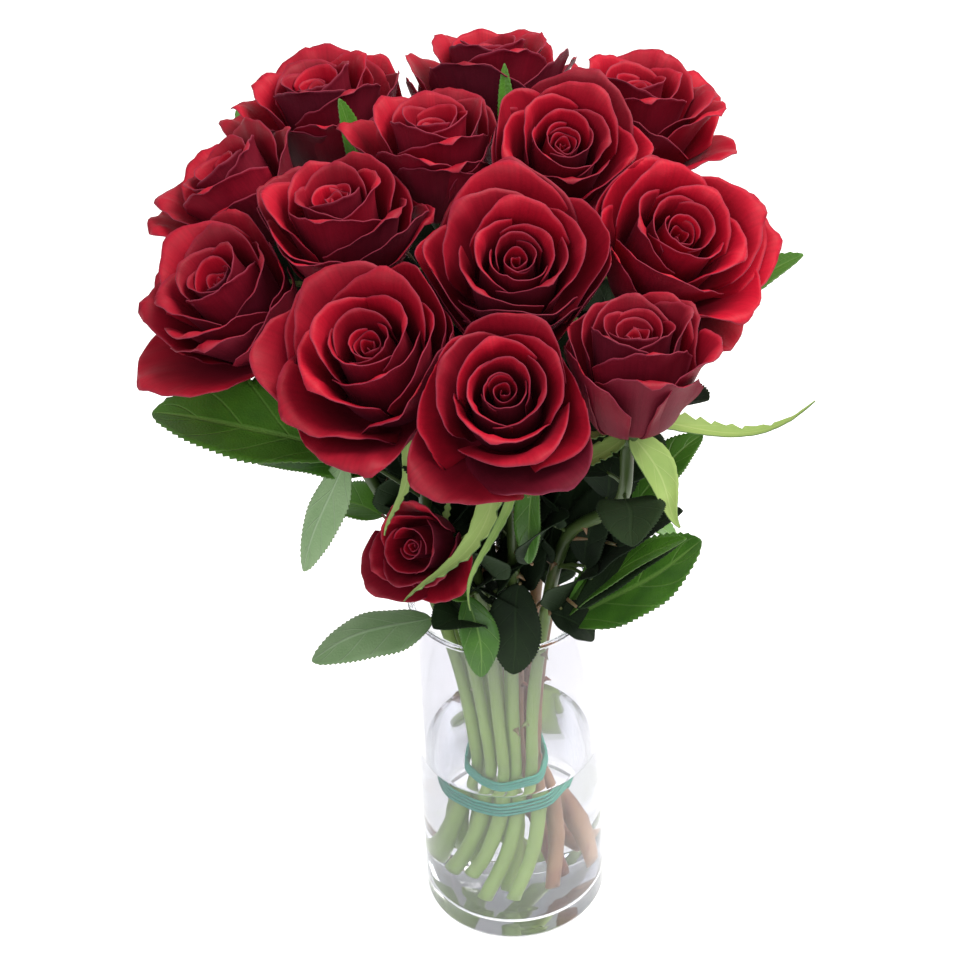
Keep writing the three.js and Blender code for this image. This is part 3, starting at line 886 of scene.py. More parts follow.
@dataclass(frozen=True)
class StemFinish(BaseFinish):
    """Rose stem: a smooth waxy rind with long streaks, green or flushed with red. It is painted
    paler low down, for the haze of the glass over it, and darker high up, partly its own green and
    partly painted shade inside the bunch.
    """

    # High on the stem: its own green, darkened as painted shade inside the bunch.
    young: str
    # Low on the stem: painted paler, for the haze of the glass over it.
    painted_shade_and_haze: str
    flush: str
    young_from: float = 270.0  # height above which the stem has its darker upper colour, partly painted shade
    # Height below which the stem has its paler colour, painted for the haze of the glass.
    hazed_below: float = 130.0
    streak: float = 5.263  # across one streak
    drawn_out: float = 0.12  # width of a streak as a share of its length
    relief: float = 0.4
    tones: float = 0.45  # how much a stem's own tone adds to its flush
    flush_from: float = 0.55
    flush_full: float = 0.95
    flush_most: float = 0.85  # share of the flush's colour where it is full

    def sockets(self, tree: bpy.types.NodeTree) -> dict:
        """Makes the nodes that colour the rind.

        Args:
            tree: The material's tree.

        Returns:
            What goes into the shader's sockets.
        """
        place = add(tree, "ShaderNodeTexCoord")["Object"]
        height = add(tree, "ShaderNodeSeparateXYZ", {0: place})["Z"]
        # Painted light and shade by height: paler low down in the glass's haze, darker up in the
        # bunch's shade.
        hazed_to_upper = add(
            tree, "ShaderNodeMapRange",
            {"Value": height, "From Min": self.hazed_below * MM, "From Max": self.young_from * MM},
        )[0]
        with_painted_light = add(
            tree, "ShaderNodeMix", {SHARE: hazed_to_upper, FIRST: srgb(self.painted_shade_and_haze), SECOND: srgb(self.young)},
            data_type="RGBA",
        )[MIXED]
        drawn = add(
            tree, "ShaderNodeMapping", {"Vector": place, "Scale": (1.0, 1.0, self.drawn_out)}
        )[0]
        streaks = add(
            tree, "ShaderNodeTexNoise",
            {"Vector": drawn, "Scale": scale_of(self.streak), "Detail": 3.0},
        )["Fac"]
        tone = add(tree, "ShaderNodeAttribute", attribute_name="tone")["Fac"]
        flushed = add(
            tree, "ShaderNodeMath", {0: tone, 1: self.tones, 2: streaks}, operation="MULTIPLY_ADD"
        )[0]
        share = add(
            tree, "ShaderNodeMapRange",
            {
                "Value": flushed, "From Min": self.flush_from, "From Max": self.flush_full,
                "To Max": self.flush_most,
            },
            interpolation_type="SMOOTHSTEP",
        )[0]
        colour = add(
            tree, "ShaderNodeMix", {SHARE: share, FIRST: with_painted_light, SECOND: srgb(self.flush)},
            data_type="RGBA",
        )[MIXED]
        bump = add(
            tree, "ShaderNodeBump",
            {"Strength": 0.25, "Distance": self.relief * MM, "Height": streaks},
        )[0]
        return {"Base Color": colour, "Normal": bump, "Roughness": 0.42, "IOR": 1.45}


@dataclass(frozen=True)
class ClearFinish(BaseFinish):
    """A clear body that bends light: drawn soda-lime glass with fire-polished sides, or water."""

    tint: str
    ior: float
    roughness: float

    def sockets(self, tree: bpy.types.NodeTree) -> dict:
        """Says how clear it is, which needs no nodes.

        Args:
            tree: The material's tree, which is not used.

        Returns:
            What goes into the shader's sockets.
        """
        return {
            "Base Color": srgb(self.tint),
            "Transmission Weight": 1.0,
            "IOR": self.ior,
            "Roughness": self.roughness,
        }


@dataclass(frozen=True)
class ElasticFinish(BaseFinish):
    """Natural rubber band, extruded and dyed: dull, with fine lines drawn along it.

    The lines are 0.1 mm apart, too fine to show, so they are drawn 0.8 mm apart.
    """

    dye: str
    worn: str
    lines: float = 9.0  # round the strand, which is 7 mm round
    runs: float = 160.0  # along the strand, which is 640 mm long
    relief: float = 0.3

    def sockets(self, tree: bpy.types.NodeTree) -> dict:
        """Makes the nodes that draw the lines.

        Args:
            tree: The material's tree.

        Returns:
            What goes into the shader's sockets.
        """
        flat = add(tree, "ShaderNodeTexCoord")["UV"]
        drawn = add(
            tree, "ShaderNodeMapping", {"Vector": flat, "Scale": (self.lines, self.runs, 1.0)}
        )[0]
        lines = add(
            tree, "ShaderNodeTexNoise", {"Vector": drawn, "Scale": 1.0, "Detail": 3.0}
        )["Fac"]
        colour = add(
            tree, "ShaderNodeMix", {SHARE: lines, FIRST: srgb(self.worn), SECOND: srgb(self.dye)},
            data_type="RGBA",
        )[MIXED]
        bump = add(
            tree, "ShaderNodeBump",
            {"Strength": 0.3, "Distance": self.relief * MM, "Height": lines},
        )[0]
        return {"Base Color": colour, "Normal": bump, "Roughness": 0.6}


@dataclass(frozen=True)
class PaperFinish(BaseFinish):
    """Matt white studio paper on a light table, very faintly clouded."""

    light: str
    shade: str
    glow: float  # light from the lamps below the sheet
    cloud: float = 666.667

    def sockets(self, tree: bpy.types.NodeTree) -> dict:
        """Makes the nodes that cloud the paper.

        Args:
            tree: The material's tree.

        Returns:
            What goes into the shader's sockets.
        """
        place = add(tree, "ShaderNodeTexCoord")["Object"]
        clouds = add(
            tree, "ShaderNodeTexNoise", {"Vector": place, "Scale": scale_of(self.cloud)}
        )["Fac"]
        colour = add(
            tree, "ShaderNodeMix",
            {SHARE: clouds, FIRST: srgb(self.shade), SECOND: srgb(self.light)}, data_type="RGBA",
        )[MIXED]
        return {
            "Base Color": colour,
            "Roughness": 0.9,
            "Emission Color": srgb(self.light),
            "Emission Strength": self.glow,
            "Specular IOR Level": 0.1,
        }


class Finish(Enum):
    """Every finish of the roses and their vase."""

    # Petal colours: lit and dull are partly painted light and shade, deep is painted shade, and
    # edge is partly a painted highlight.
    PETAL_BACK = PetalFinish(
        "petal_back", lit="880a22", dull="501222", deep="5c1222", edge="82344a", roughness=0.62,
        sheen=0.12, sheen_tint="b84460", gloss=0.2,
    )
    PETAL_FACE = PetalFinish(
        "petal_face", lit="b80c28", dull="7c0c20", deep="6c0e20", edge="94263c", roughness=0.58,
        sheen=0.14, sheen_tint="e03050", gloss=0.34,
    )
    PETAL_RIM = PetalFinish(
        "petal_rim", lit="8c1830", dull="701a2a", deep="5e1220", edge="8a2e44", roughness=0.6,
        sheen=0.15, sheen_tint="d06078", gloss=0.3,
    )
    LEAF_TOP = LeafFinish(
        "leaf_top", blade="568a28", dark="325a1e", vein="86ac58", roughness=0.42, relief=-0.5
    )
    # Painted shade: a near-black leaf for the inside of the bunch, where there is only shade.
    SHADE_LEAF = LeafFinish(
        "painted_shade_leaf", blade="1c3012", dark="0c180c", vein="263a1c", roughness=0.8, relief=-0.4,
        gloss=0.3,
    )
    LEAF_UNDER = LeafFinish(
        "leaf_underside", blade="96ac84", dark="70905f", vein="b0c4a4", roughness=0.6, relief=0.6
    )
    LEAF_EDGE = LeafFinish(
        "leaf_edge", blade="54703a", dark="48632f", vein="64804a", roughness=0.6, relief=0.1
    )
    SEPAL_TOP = LeafFinish(
        "sepal_inside", blade="9cb464", dark="74944a", vein="b4c480", roughness=0.6, relief=0.2
    )
    SEPAL_UNDER = LeafFinish(
        "sepal_outside", blade="6c9040", dark="4a702c", vein="8ca858", roughness=0.5, relief=0.3
    )
    GREEN_STEM = StemFinish("green_stem", young="3a4c22", painted_shade_and_haze="a6c46c", flush="7c5c44")
    RED_STEM = StemFinish("flushed_stem", young="46482c", painted_shade_and_haze="b48c6c", flush="84443a")
    GLASS = ClearFinish("drawn_soda_lime_glass", tint="e1e1e6", ior=1.5, roughness=0.0)
    WATER = ClearFinish("still_clear_water", tint="fbfdfc", ior=1.333, roughness=0.0)
    ELASTIC = ElasticFinish("teal_rubber_band", dye="2f9c84", worn="5cbba4")
    FLOOR = PaperFinish("studio_paper", light="f6f6f6", shade="f2f2f2", glow=0.44)

    def material(self) -> bpy.types.Material:
        """The finish as a material, made once."""
        return bpy.data.materials.get(self.value.name) or self.value.make()


# ---------- Bloom ----------


@dataclass(frozen=True)
class Petal:
    """One petal of a flower of full size.

    rise is the height of its root, and root its distance from the axis. flare, stand and lip are
    its lean away from the axis at the root, in the cup and added at the rim, in degrees. half is
    its half width, and widest the half angle that it takes up at most. depth says how far inside
    the flower it lies. cut is how far its corners are cut back, as a share of its length. reflex
    is how much further its shoulders roll back than its middle, and curl how far its side edges
    turn out near the rim. overlap is how far one side stands out over the next petal.
    """

    rise: float
    root: float
    flare: float
    stand: float
    lip: float
    length: float
    half: float
    widest: float
    depth: float
    ruffle: float
    cut: float
    reflex: float
    curl: float
    overlap: float
    direction: float = 0.0
    seed: float = 0.0

    @property
    def phase(self) -> float:
        """Where the waves of its rim start."""
        return math.pi * draw(self.seed, Draw.PHASE)

    def blend(self, other: "Petal", share: float) -> "Petal":
        """The petal that lies between this one, at a share of 0, and another, at a share of 1."""
        pairs = zip(astuple(self), astuple(other))
        return Petal(*(first * (1 - share) + second * share for first, second in pairs))


@dataclass(frozen=True)
class Rim:
    """How every petal ends: its shoulders roll back, and it has a small hooked point.

    Places across a petal are s from -1 to 1, and places along it are t from 0 to 1.
    """

    lip: float = 0.68  # where it starts to roll outwards
    sooner: float = 0.08  # how much sooner the shoulders start
    calm: float = 0.45  # how much less the middle rolls than on a rim that rolls evenly
    shoulders: float = 0.95  # how much more the shoulders roll than the middle
    uneven: float = 0.25  # how unlike its two sides roll
    hem: float = 0.95  # where its very edge rolls over
    hem_roll: float = 34.0
    point: float = 0.2  # how far from the middle the point may lie
    point_width: float = 0.2
    point_length: float = 0.03
    hook: float = 95.0  # the roll of the point
    hook_from: float = 0.9
    hook_width: float = 0.12
    crease_width: float = 0.09
    wave: float = 0.012  # of the outline
    nibble: float = 0.006  # the fine waves of the outline
    free_from: float = 0.5  # where the petal comes free of the next one
    free_run: float = 0.4
    curled: float = 0.6  # where its side edges start to turn out

    def shoulder(self, petal: Petal, s: np.ndarray) -> np.ndarray:
        """How far each place lies across from the point."""
        return np.abs(s - self.point * draw(petal.seed, Draw.POINT))

    def outline(self, petal: Petal, s: np.ndarray) -> np.ndarray:
        """How long a petal is at each place across it.

        Args:
            petal: The petal.
            s: The places across it.

        Returns:
            The lengths, as shares of its full length.
        """
        point = np.exp(-((self.shoulder(petal, s) / self.point_width) ** 2))
        length = 1 - petal.cut * np.abs(s) ** (2.4 - 0.8 * petal.reflex)
        length = length + self.point_length * petal.reflex * point
        length = length + self.wave * np.sin(3.1 * s + petal.phase)
        return length + self.nibble * petal.reflex * np.sin(19 * s + 2 * petal.phase)

    def roll(self, petal: Petal, s: np.ndarray, share: np.ndarray, t: np.ndarray) -> np.ndarray:
        """How far a petal has rolled outwards.

        Args:
            petal: The petal.
            s: The places across it.
            share: How far along each place is, as a share of the full length.
            t: How far along it is, as a share of the length there.

        Returns:
            The roll at each place, in degrees.
        """
        shoulder = self.shoulder(petal, s)
        start = self.lip - self.sooner * petal.reflex * shoulder
        rolled = np.clip((share - start) / (1 - start), 0, 1)
        even = 1 - self.calm * petal.reflex + self.shoulders * petal.reflex * shoulder**1.4
        lip = petal.lip * even * (1 + self.uneven * draw(petal.seed, Draw.LIP_TWIST) * s)
        # A petal that hardly opens has hardly any hem or hook either.
        hem = np.clip((t - self.hem) / (1 - self.hem), 0, 1) ** 2
        hem = hem * self.hem_roll * min(1.0, petal.lip / 20)
        hem = hem * (0.7 + 0.3 * np.sin(5 * s + petal.seed))
        tip = np.exp(-((shoulder / self.hook_width) ** 2))
        tip = tip * smooth((t - self.hook_from) / (1 - self.hook_from))
        hook = self.hook * min(1.0, petal.lip / 40) ** 2
        hook = hook * (0.55 + 0.45 * draw(petal.seed, Draw.HOOK))
        return lip * rolled**2 + hem + hook * tip

    def relief(self, petal: Petal, s: np.ndarray, t: np.ndarray) -> np.ndarray:
        """How far a petal stands out from its smooth shape.

        Args:
            petal: The petal.
            s: The places across it.
            t: The places along it.

        Returns:
            Its ruffles, the crease down from its point and the curl of its sides, added up.
        """
        free = smooth((t - self.free_from) / self.free_run)
        curl = np.clip((np.abs(s) - self.curled) / (1 - self.curled), 0, 1) ** 2 * free
        phase = petal.phase
        ruffle = petal.ruffle * t**3 * (
            np.sin(5.5 * s + phase) * (0.4 + 0.6 * np.abs(s))
            + 0.55 * t**4 * np.sin(15 * s + 3 * phase) * np.sin(4 * s + 5 * phase)
        )
        crease = np.exp(-((self.shoulder(petal, s) / self.crease_width) ** 2))
        return ruffle - (0.4 + 0.9 * petal.reflex) * crease * free + petal.curl * curl


@dataclass(frozen=True)
class Row:
    """One row of petals, and how far they differ from their model.

    The petals' seeds count on from first in steps. direction and stand are in degrees, and length
    and lip are shares.
    """

    first: float
    step: float
    direction: float
    length: float
    stand: float
    lip: float

    def petal(self, model: Petal, spin: float, number: int, direction: float) -> Petal:
        """One petal of the row.

        Args:
            model: The petal that it differs from.
            spin: The rose's spin.
            number: The petal's place in the row, from 0.
            direction: Where it would stand if it stood evenly.

        Returns:
            The petal.
        """
        seed = spin + self.first + self.step * number
        return replace(
            model,
            direction=direction + self.direction * draw(seed, Draw.DIRECTION),
            length=model.length * (1 + self.length * draw(seed, Draw.LENGTH)),
            stand=model.stand + self.stand * draw(seed, Draw.STAND),
            lip=model.lip * (1 + self.lip * draw(seed, Draw.LIP)),
            seed=seed,
        )


@dataclass(frozen=True)
class Roll:
    """The rolled heart of a flower: one strip wound up on itself."""

    turn: float = 780.0
    uneven: float = 0.15  # how much more or less one heart is wound than another
    root: float = 2.5
    inner: float = 1.0
    outer: float = 6.6
    belly: float = 1.6  # how far its outer edge swells half-way up
    flare: float = 0.8  # how far its outer edge opens at the top
    rise: float = 9.0
    height: float = 50.0
    taller: float = 2.0  # how much taller or lower one heart is than another
    dip: float = 4.0  # how far its middle lies below its outer edge
    wave: float = 1.6
    depth: float = 5.4  # how far inside the flower it lies, as petals have it
    columns: int = 120
    rows: int = 14
    tone: float = 0.2

    def places(self, spin: float, s: np.ndarray, t: np.ndarray) -> np.ndarray:
        """The strip, in the flower's own frame.

        Args:
            spin: The rose's spin.
            s: Places along the strip, from -1 at its inner edge to 1 at its outer one.
            t: Places up the strip, from 0 to 1.

        Returns:
            The places.
        """
        wound = (s + 1) / 2
        turned = self.turn * (1 + self.uneven * draw(spin, Draw.ROLL_TURN))
        angle = math.radians(spin) + math.radians(turned) * wound
        top = self.inner + (self.outer - self.inner) * wound
        radius = self.root * (1 - t) + top * t + self.belly * np.sin(math.pi * t) * wound
        radius = radius + self.flare * t**6 * wound
        wave = self.wave * np.sin(2.6 * angle + spin) * t**4
        tall = self.height + self.taller * draw(spin, Draw.ROLL_HEIGHT)
        tall = tall - self.dip * (1 - wound) ** 2
        height = self.rise + (tall - self.rise) * t + wave
        return np.stack((radius * np.cos(angle), radius * np.sin(angle), height), axis=1)


@dataclass
class Bloom:
    """The flower of a rose: a rolled heart, a spiral of petals, a skirt and loose guard petals."""

    rose: Rose
    thickness: float = 0.45
    cup: float = 0.34  # where along its length a petal has turned from lying out to standing up
    full: float = 0.62  # where along its length it has reached its full width
    narrow: float = 0.14  # its width at the root, as a share of its full width
    steps: int = 24  # of the sum that follows a petal's lean from its root to its rim
    columns: int = 24
    rows: int = 26
    golden: float = 137.5  # degrees from one petal of the spiral to the next
    skirt_turn: float = 30.0  # degrees from the flower's spin to the first petal of the skirt
    ease: float = 4.5  # how softly petals bend away from the next flower
    reach: float = 100.0  # how far off another flower still presses on it
    stagger: float = 1.8  # how far a petal keeps behind the next where flowers press on each other
    tones: float = 0.8  # how unlike each other its petals' tones are
    rim: Rim = Rim()
    roll: Roll = Roll()
    # The habit of the spiral's petals, from the innermost to the outermost.
    habit: tuple[Petal, ...] = (
        Petal(8.0, 3.8, 46, -4, 9, 47.0, 22, 104, 4.6, 0.2, 0.08, 0.2, 0.2, 0.5),
        Petal(7.0, 4.8, 72, -3, 18, 56.0, 28, 88, 3.8, 0.4, 0.11, 0.4, 0.6, 0.5),
        Petal(6.0, 5.4, 84, 1, 30, 61.0, 34, 74, 2.8, 0.6, 0.13, 0.7, 1.2, 0.6),
        Petal(4.6, 5.8, 91, 8, 44, 65.0, 40, 66, 1.8, 1.0, 0.20, 0.9, 2.2, 0.7),
        Petal(3.2, 6.0, 95, 16, 56, 68.0, 44, 60, 1.0, 1.6, 0.24, 1.0, 3.2, 0.8),
    )
    skirt: Petal = Petal(1.8, 6.0, 98, 27, 46, 67.0, 42, 58, 0.4, 2.2, 0.28, 1.0, 4.0, 1.7)
    guard: Petal = Petal(0.9, 6.0, 98, 0, 38, 67.0, 38, 55, 0.0, 2.2, 0.28, 0.8, 3.0, 0.0)
    spiral_row: Row = Row(first=0.0, step=7.3, direction=9, length=0.03, stand=0.6, lip=0.16)
    skirt_row: Row = Row(first=61.0, step=4.3, direction=8, length=0.05, stand=4, lip=0.3)
    guard_row: Row = Row(first=131.0, step=5.7, direction=0, length=0.05, stand=0, lip=0.3)
    matrix: np.ndarray = field(init=False)
    fences: list[tuple[np.ndarray, float]] = field(init=False, default_factory=list)

    def __post_init__(self) -> None:
        """Finds the planes half-way to the flowers that stand close to this one."""
        self.matrix = np.array(self.rose.frame)
        for other in ROSES:
            apart = other.middle - self.rose.middle
            if other is self.rose or apart.length >= self.reach:
                continue
            share = self.rose.size / (self.rose.size + other.size)
            through = self.rose.middle.lerp(other.middle, share)
            normal = np.array(apart.normalized())
            self.fences.append((normal, float(np.dot(normal, np.array(through)))))

    def _settle(self, places: np.ndarray, margin: np.ndarray | float) -> np.ndarray:
        """Moves points from the flower's frame to their place, clear of the next flowers.

        Args:
            places: The points.
            margin: How far each keeps from the planes between the flowers.

        Returns:
            Their places.
        """
        world = places @ self.matrix[:3, :3].T + self.matrix[:3, 3]
        for normal, limit in self.fences:
            beyond = world @ normal - limit + margin
            kept = -self.ease * np.logaddexp(0.0, -beyond / self.ease)
            world = world + normal * (kept - beyond)[:, None]
        return world

    def _lean(self, petal: Petal, s: np.ndarray, share: np.ndarray, t: np.ndarray) -> np.ndarray:
        """The lean of a petal away from the axis.

        Args:
            petal: The petal.
            s: The places across it.
            share: How far along each place is, as a share of the full length.
            t: How far along it is, as a share of the length there.

        Returns:
            The lean at each place, in radians.
        """
        upright = smooth(share / self.cup)
        stand = petal.stand + 2.5 * draw(petal.seed, Draw.STAND_TWIST) * s
        lean = petal.flare * (1 - upright) + stand * upright + self.rim.roll(petal, s, share, t)
        return np.radians(lean)

    def petal(self, petal: Petal, s: np.ndarray, t: np.ndarray) -> np.ndarray:
        """The surface of one petal.

        Args:
            petal: Its shape, direction and seed.
            s: Places across it, from -1 to 1.
            t: Places along it, from 0 to 1.

        Returns:
            The places.
        """
        outline = self.rim.outline(petal, s)
        radius = np.full_like(s, petal.root)
        height = np.full_like(s, petal.rise)
        step = petal.length * t * outline / self.steps
        for i in range(self.steps):
            part = (i + 0.5) / self.steps
            lean = self._lean(petal, s, part * t * outline, part * t)
            radius = radius + np.sin(lean) * step
            height = height + np.cos(lean) * step
        lean = self._lean(petal, s, t * outline, t)
        widening = np.sin(np.minimum(1, t / self.full) * math.pi / 2)
        half = petal.half * (self.narrow + (1 - self.narrow) * widening)
        spread = np.minimum(half / radius, math.radians(petal.widest))
        angle = math.radians(petal.direction) + s * spread
        off = petal.overlap * s + self.rim.relief(petal, s, t)
        out = radius + off * np.cos(lean)
        places = np.stack(
            (out * np.cos(angle), out * np.sin(angle), height - off * np.sin(lean)), axis=1
        )
        margin = self.thickness / 2 + GAP + petal.depth * self.stagger
        return self._settle(places, margin + petal.overlap * (1 - s) / 2)

    def heart(self, s: np.ndarray, t: np.ndarray) -> np.ndarray:
        """The surface of the rolled heart, from its inner edge to its outer one."""
        margin = self.thickness / 2 + GAP + self.roll.depth * self.stagger
        return self._settle(self.roll.places(self.rose.spin, s, t), margin)

    def _spiral(self) -> list[Petal]:
        """The petals of the spiral.

        Returns:
            The petals, from the heart outwards.
        """
        rose = self.rose
        found = []
        for i in range(rose.petals):
            place = i / (rose.petals - 1) * (len(self.habit) - 1)
            ring = min(int(place), len(self.habit) - 2)
            petal = self.habit[ring].blend(self.habit[ring + 1], place - ring)
            model = replace(
                petal, stand=petal.stand * rose.opened, lip=petal.lip * (0.4 + 0.6 * rose.opened)
            )
            direction = rose.spin + self.golden * i
            found.append(self.spiral_row.petal(model, rose.spin, i, direction))
        return found

    def petals(self) -> list[Petal]:
        """Every petal of this rose, no two of them quite alike.

        Returns:
            The petals of the spiral, the skirt and the guard.
        """
        rose = self.rose
        found = self._spiral()
        model = replace(self.skirt, stand=self.skirt.stand * rose.opened)
        for i in range(rose.skirts):
            direction = rose.spin + self.skirt_turn + 360 * i / rose.skirts
            found.append(self.skirt_row.petal(model, rose.spin, i, direction))
        for i, (direction, stand) in enumerate(rose.guards):
            half = math.copysign(self.guard.half, stand)
            model = replace(self.guard, stand=abs(stand), half=half)
            found.append(self.guard_row.petal(model, rose.spin, i, direction))
        return found

    def build(self) -> bpy.types.Object:
        """Makes the flower.

        Returns:
            The piece with its petals.
        """
        name = self.rose.name
        mesh = new_mesh()
        lay_sheet(mesh, self.roll.columns, self.roll.rows, self.heart, self.roll.tone)
        for petal in self.petals():
            # Each petal's own random tone, plus its flower's shade: painted light above 0, painted
            # shade below 0.
            tone = self.tones * draw(petal.seed, Draw.PETAL_TONE) + self.rose.shade
            lay_sheet(mesh, self.columns, self.rows, partial(self.petal, petal), tone)
        made = make_piece(
            f"{name}_petals", mesh, (Finish.PETAL_BACK, Finish.PETAL_FACE, Finish.PETAL_RIM),
            f"{name}_bloom",
        )
        thicken(made, self.thickness)
        return made


@dataclass
class Core:
    """The fleshy end of the stem that all the petals of a rose grow from."""

    rose: Rose
    foot: float = 7.4
    top: float = 4.0
    height: float = 15.0
    rounding: float = 1.2
    sides: int = 20

    def build(self) -> bpy.types.Object:
        """Makes the core.

        Returns:
            The piece.
        """
        mesh = new_mesh()
        bmesh.ops.create_cone(
            mesh, segments=self.sides, radius1=self.foot, radius2=self.top, depth=self.height,
            cap_ends=True, matrix=Matrix.Translation((0, 0, self.height / 2)),
        )
        bmesh.ops.bevel(
            mesh, geom=mesh.edges, offset=self.rounding, segments=2, affect="EDGES", profile=0.5,
            material=-1,
        )
        bmesh.ops.transform(mesh, matrix=self.rose.frame, verts=mesh.verts)
        name = self.rose.name
        return make_piece(f"{name}_core", mesh, (Finish.SEPAL_TOP,), f"{name}_bloom")


# ---------- Stem, hip, sepals and leaves ----------


@dataclass(frozen=True)
class Hip:
    """The swelling under a flower, in the flower's own frame."""

    height: float = 11.0
    # Height and radius from the neck to the flower.
    profile: tuple[tuple[float, float], ...] = (
        (-12, 3.5), (-11, 3.9), (-9.5, 4.6), (-7.5, 5.7), (-5.5, 6.3), (-3, 6.3), (-1.2, 5.8),
        (-0.5, 5),
    )
    sides: int = 20
    tone: float = -0.6

    def add_to(self, mesh: bmesh.types.BMesh, rose: Rose) -> None:
        """Adds the hip of a rose to the mesh of its stem."""
        path = [rose.frame @ Vector((0, 0, height)) for height, _ in self.profile]
        sweep(mesh, path, [radius * rose.size for _, radius in self.profile], self.sides, self.tone)


@dataclass
class StemLine:
    """The line of a stem through the fan, as a centripetal curve from its cut end to its hip."""

    rose: Rose
    hip: Hip = Hip()
    # Height, how far the fan of stems is open there, and its turn in degrees.
    fan: tuple[Triple, ...] = (
        (13, 0.27, -48), (50, 0.205, -20), (87, 0.1667, 0), (150, 0.205, 0), (220, 0.325, 0),
        (290, 0.52, 0),
    )
    foot: float = 14.4  # height of the lowest cut end
    neck: float = 34.0  # length of the straight neck under the hip
    sunk: float = 1.0  # how far the stem reaches into the hip
    low_flower: float = 380.0  # the stem of a flower below this leaves the fan early
    halvings: int = 30  # of the search for a height
    points: list[Vector] = field(init=False)

    def __post_init__(self) -> None:
        """Sets the curve's points."""
        rose = self.rose
        points = [self._in_fan(*level) for level in self.fan]
        top = rose.base - rose.axis * (self.hip.height * rose.size - self.sunk)
        if self.is_low:
            points.pop()
        points += [top - rose.axis * (self.neck * rose.size), top]
        share = (self.foot + rose.foot - points[0].z) / (points[1].z - points[0].z)
        points[0] = points[0].lerp(points[1], share)
        self.points = points

    @property
    def is_low(self) -> bool:
        """If its flower hangs low."""
        return self.rose.base.z < self.low_flower

    def _in_fan(self, height: float, opened: float, turned: float) -> Vector:
        """Where the stem is at a height of the fan."""
        flat = Vector((self.rose.place[0] * opened, self.rose.place[1] * opened, height))
        return Matrix.Rotation(math.radians(turned), 3, "Z") @ flat

    def at(self, share: float) -> Vector:
        """The point at a share of the curve.

        Args:
            share: From 0 at the cut end to 1 at the hip.

        Returns:
            The point.
        """
        points = self.points
        spot = (len(points) - 1) * share
        i = min(int(spot), len(points) - 2)
        before = points[i - 1] if i else points[0] * 2 - points[1]
        after = points[i + 2] if i + 2 < len(points) else points[-1] * 2 - points[-2]
        ends = (before, points[i], points[i + 1], after)
        first, span, last = (math.sqrt((b - a).length) for a, b in zip(ends, ends[1:]))
        p0, p1, p2, p3 = ends
        leave = ((p1 - p0) / first - (p2 - p0) / (first + span) + (p2 - p1) / span) * span
        reach = ((p2 - p1) / span - (p3 - p1) / (span + last) + (p3 - p2) / last) * span
        w = spot - i
        return (
            p1 + leave * w + (p2 * 3 - p1 * 3 - leave * 2 - reach) * w**2
            + (p1 * 2 - p2 * 2 + leave + reach) * w**3
        )

    def at_height(self, height: float) -> Vector:
        """Finds the point that is at a height, by halving.

        Args:
            height: The height.

        Returns:
            The point.
        """
        low, high = 0.0, 1.0
        for _ in range(self.halvings):
            middle = (low + high) / 2
            if self.at(middle).z < height:
                low = middle
            else:
                high = middle
        return self.at(low)


@dataclass(frozen=True)
class Thorns:
    """The small down-turned thorns of a stem."""

    count: int = 5
    lowest: float = 150.0
    apart: float = 40.0
    strewn: float = 14.0  # how far above or below its even place a thorn may be
    sunk: float = 1.0  # how deep its foot is in the rind
    waist: float = 1.2  # how far outside the rind it is no longer wide
    reach: float = 7.0  # of its tip, from the middle of the stem
    droop: float = 2.0
    radii: Triple = (2.2, 1.2, 0.15)  # at its foot, its waist and its tip
    sides: int = 8
    tone: float = 0.9

    def add_to(self, mesh: bmesh.types.BMesh, line: StemLine, radius: float) -> None:
        """Adds the thorns to the mesh of their stem.

        Args:
            mesh: The stem's mesh.
            line: The stem's line.
            radius: The stem's radius.
        """
        spin = line.rose.spin
        for i in range(self.count):
            strewn = self.strewn * draw(spin, Draw.THORN_HEIGHT + i)
            root = line.at_height(self.lowest + self.apart * i + strewn)
            angle = math.pi * draw(spin, Draw.THORN_SIDE + i)
            out = Vector((math.cos(angle), math.sin(angle), 0.0))
            foot, waist = root + out * (radius - self.sunk), root + out * (radius + self.waist)
            tip = root + out * self.reach - Vector((0, 0, self.droop))
            sweep(mesh, [foot, waist, tip], self.radii, self.sides, self.tone)


